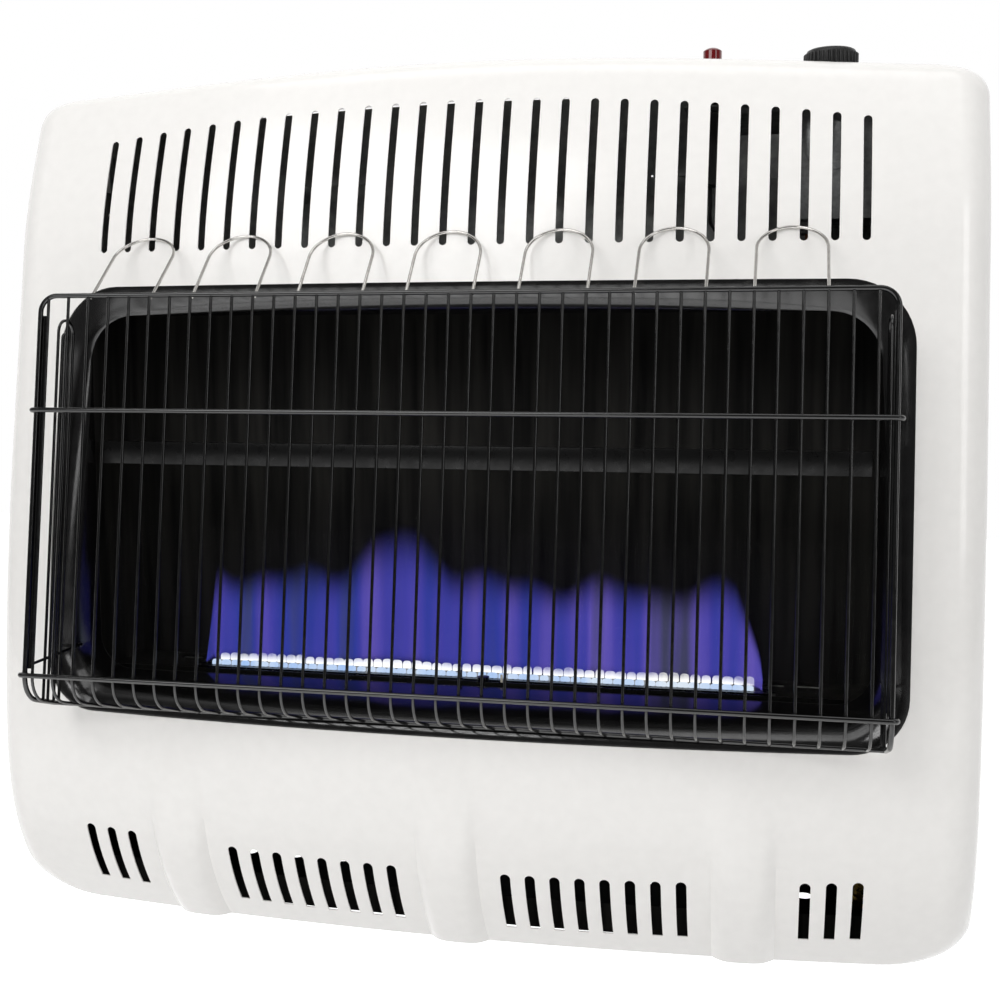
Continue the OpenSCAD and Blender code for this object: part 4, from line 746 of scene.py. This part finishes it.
body_of = {node: body for body, members in frame["record"]["behaviour"]["bodies"].items() for node in members}
finish_of = {part["node"]: part["material_slot"] for part in frame["record"]["subparts"]}
ROUNDINGS = {
    "wall_bracket": 0.2, "wall_spacers": 0.6, "back_panel": 0.15, "casing_screws": 0.7, "base_tray": 0.15,
    "surround_nuts": 0.3, "firebox": 0.15, "hood": 0.15, "heat_shield": 0.15, "side_plate_left": 0.15,
    "side_plate_right": 0.15, "glass_rail": 0.2, "glass_channel": 0.15, "burner_brackets": 0.15,
    "mixer_tube": 0.2, "injector": 0.25, "injector_holder": 0.6, "pilot_bracket": 0.15, "pilot_burner": 0.2,
    "spark_electrode": 0.2, "thermocouple": 0.2, "thermocouple_lead": 0, "pilot_tube": 0, "burner_tube": 0,
    "inlet_tube": 0, "pressure_regulator": 0.8, "inlet_fitting": 0.5, "gas_valve": 0.9, "valve_stem": 0.2,
    "push_collar": 0.2, "stem_spring": 0, "control_knob": 0.2, "control_bracket": 0.15, "igniter_body": 0.3,
    "igniter_nut": 0.3, "igniter_button": 0.2, "igniter_lead": 0, "thermostat_bulb": 0.8,
    "thermostat_capillary": 0, "bulb_clips": 0.15,
}
for node, rounding in ROUNDINGS.items():
    dressed = dress(finished_copy(node, rounding), finish_of[node], node, body=body_of[node])
    if node == "stem_spring":
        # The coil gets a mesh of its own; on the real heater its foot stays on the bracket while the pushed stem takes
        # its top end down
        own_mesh(dressed)

dress(make_casing(), "white_enamel", "casing")
dress(make_surround(), "black_enamel", "surround")
for stood_for, wires in make_guard().items():
    extra = ["guard_feet"] if stood_for == "guard_wires" else []
    dress(wires, "bright_wire" if stood_for == "guard_loops" else "black_wire", stood_for, *extra)


# Tones of a blue gas flame, each with its density
BLUE_FLAME = (("454a6c", 0.7), ("3440a6", 0.8), ("4a46b0", 0.8), ("6658bc", 0.85), ("47486a", 0.7))
# The stubs of flame on the ports are solid from foot to tip; the curtain above them isn't
WHOLE = ((-2, -1), (5, 6))
FLAME_LOOKS = (
    ("front_port_flames", 1.2, (("a4c6fc", 1.0), ("e2eeff", 1.0)), *WHOLE),
    ("rear_port_flames", 1.6, (("f0f4ff", 1.0), ("ffffff", 1.0)), *WHOLE),
    ("flame_curtain", 1.15, BLUE_FLAME, (0.05, 0.12), (0.5, 1.0)),
)
for flame, (name, *look) in zip(make_flames(), FLAME_LOOKS):
    flame.data.materials.clear()
    flame.data.materials.append(flame_material(name + "_glow", *look))
    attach(flame, "heater")


# ---- Light and background ----

def pale_world():
    """White to the camera, through glass and in reflections of the background; plain soft light on the object."""
    world = bpy.data.worlds.new("studio")
    scene.world = world
    world.use_nodes = True
    tree = world.node_tree
    tree.nodes.clear()
    rays = add_node(tree, "ShaderNodeLightPath")
    seen = add_node(tree, "ShaderNodeMath", {"operation": "MAXIMUM"},
                    {0: rays.outputs["Is Camera Ray"], 1: rays.outputs["Is Transmission Ray"]}).outputs[0]
    # The background lies behind the object; the room in front of it is dim
    way = add_node(tree, "ShaderNodeSeparateXYZ", None, {
        "Vector": add_node(tree, "ShaderNodeTexCoord").outputs["Generated"]}).outputs["Y"]
    mirrored = add_node(tree, "ShaderNodeMath", {"operation": "MULTIPLY"},
                        {0: rays.outputs["Is Glossy Ray"],
                         1: ramp(tree, way, -0.1, 0.5, ROOM_GLOW - WORLD_GLOW, 1 - WORLD_GLOW)}).outputs[0]
    plain = add_node(tree, "ShaderNodeMath", {"operation": "ADD", 1: WORLD_GLOW}, {0: mirrored}).outputs[0]
    strength = add_node(tree, "ShaderNodeMath", {"operation": "MAXIMUM"}, {0: seen, 1: plain}).outputs[0]
    light = add_node(tree, "ShaderNodeBackground", {"Color": (1, 1, 1, 1)}, {"Strength": strength})
    add_node(tree, "ShaderNodeOutputWorld", None, {"Surface": light.outputs["Background"]})


def soft_lamp(name, place, aim, size, watts):
    data = bpy.data.lights.new(name, "AREA")
    data.shape = "RECTANGLE"
    data.size, data.size_y = size
    data.energy = watts
    lamp = bpy.data.objects.new(name, data)
    scene.collection.objects.link(lamp)
    lamp.location = place
    lamp.rotation_euler = (Vector(aim) - Vector(place)).to_track_quat("-Z", "Y").to_euler()
    return lamp


def pale_floor():
    """Floor under the wall that the heater hangs on: white to the camera, and it keeps the object's shadow."""
    bpy.ops.mesh.primitive_plane_add(size=12, location=(0, 0, -1.05))
    floor = bpy.context.active_object
    floor.name = "floor"
    bpy.ops.object.transform_apply(location=True)
    material, tree, surface, place = new_material("pale_floor", {
        "Base Color": hex_colour("f2f2f2"), "Roughness": 0.6, "Emission Color": (1, 1, 1, 1)})
    rays = add_node(tree, "ShaderNodeLightPath")
    seen = add_node(tree, "ShaderNodeMath", {"operation": "MAXIMUM"},
                    {0: rays.outputs["Is Camera Ray"], 1: rays.outputs["Is Glossy Ray"]}).outputs[0]
    seen = add_node(tree, "ShaderNodeMath", {"operation": "MAXIMUM"},
                    {0: seen, 1: rays.outputs["Is Transmission Ray"]}).outputs[0]
    tree.links.new(ramp(tree, seen, 0, 1, 0, FLOOR_GLOW), surface.inputs["Emission Strength"])
    floor.data.materials.append(material)


# Glow of the world for diffuse light and of the dim room in reflections; the floor's own glow to the camera
WORLD_GLOW, ROOM_GLOW, FLOOR_GLOW = 0.47, 0.1, 0.75
bpy.ops.object.select_all(action="DESELECT")
pale_world()
soft_lamp("front_softbox", (-0.9, -2.2, 1.3), (0, -0.2, -0.2), (1.6, 1.2), 25)
soft_lamp("overhead_softbox", (0.1, -0.6, 1.25), (0.1, -0.25, -0.3), (1.9, 0.7), 7)
soft_lamp("low_softbox", (-0.35, -0.85, -1.0), (-0.1, -0.25, -0.2), (1.6, 1.0), 2)
soft_lamp("right_strip", (1.7, -1.5, 0.5), (0.2, -0.25, 0.0), (0.6, 1.2), 6)
pale_floor()
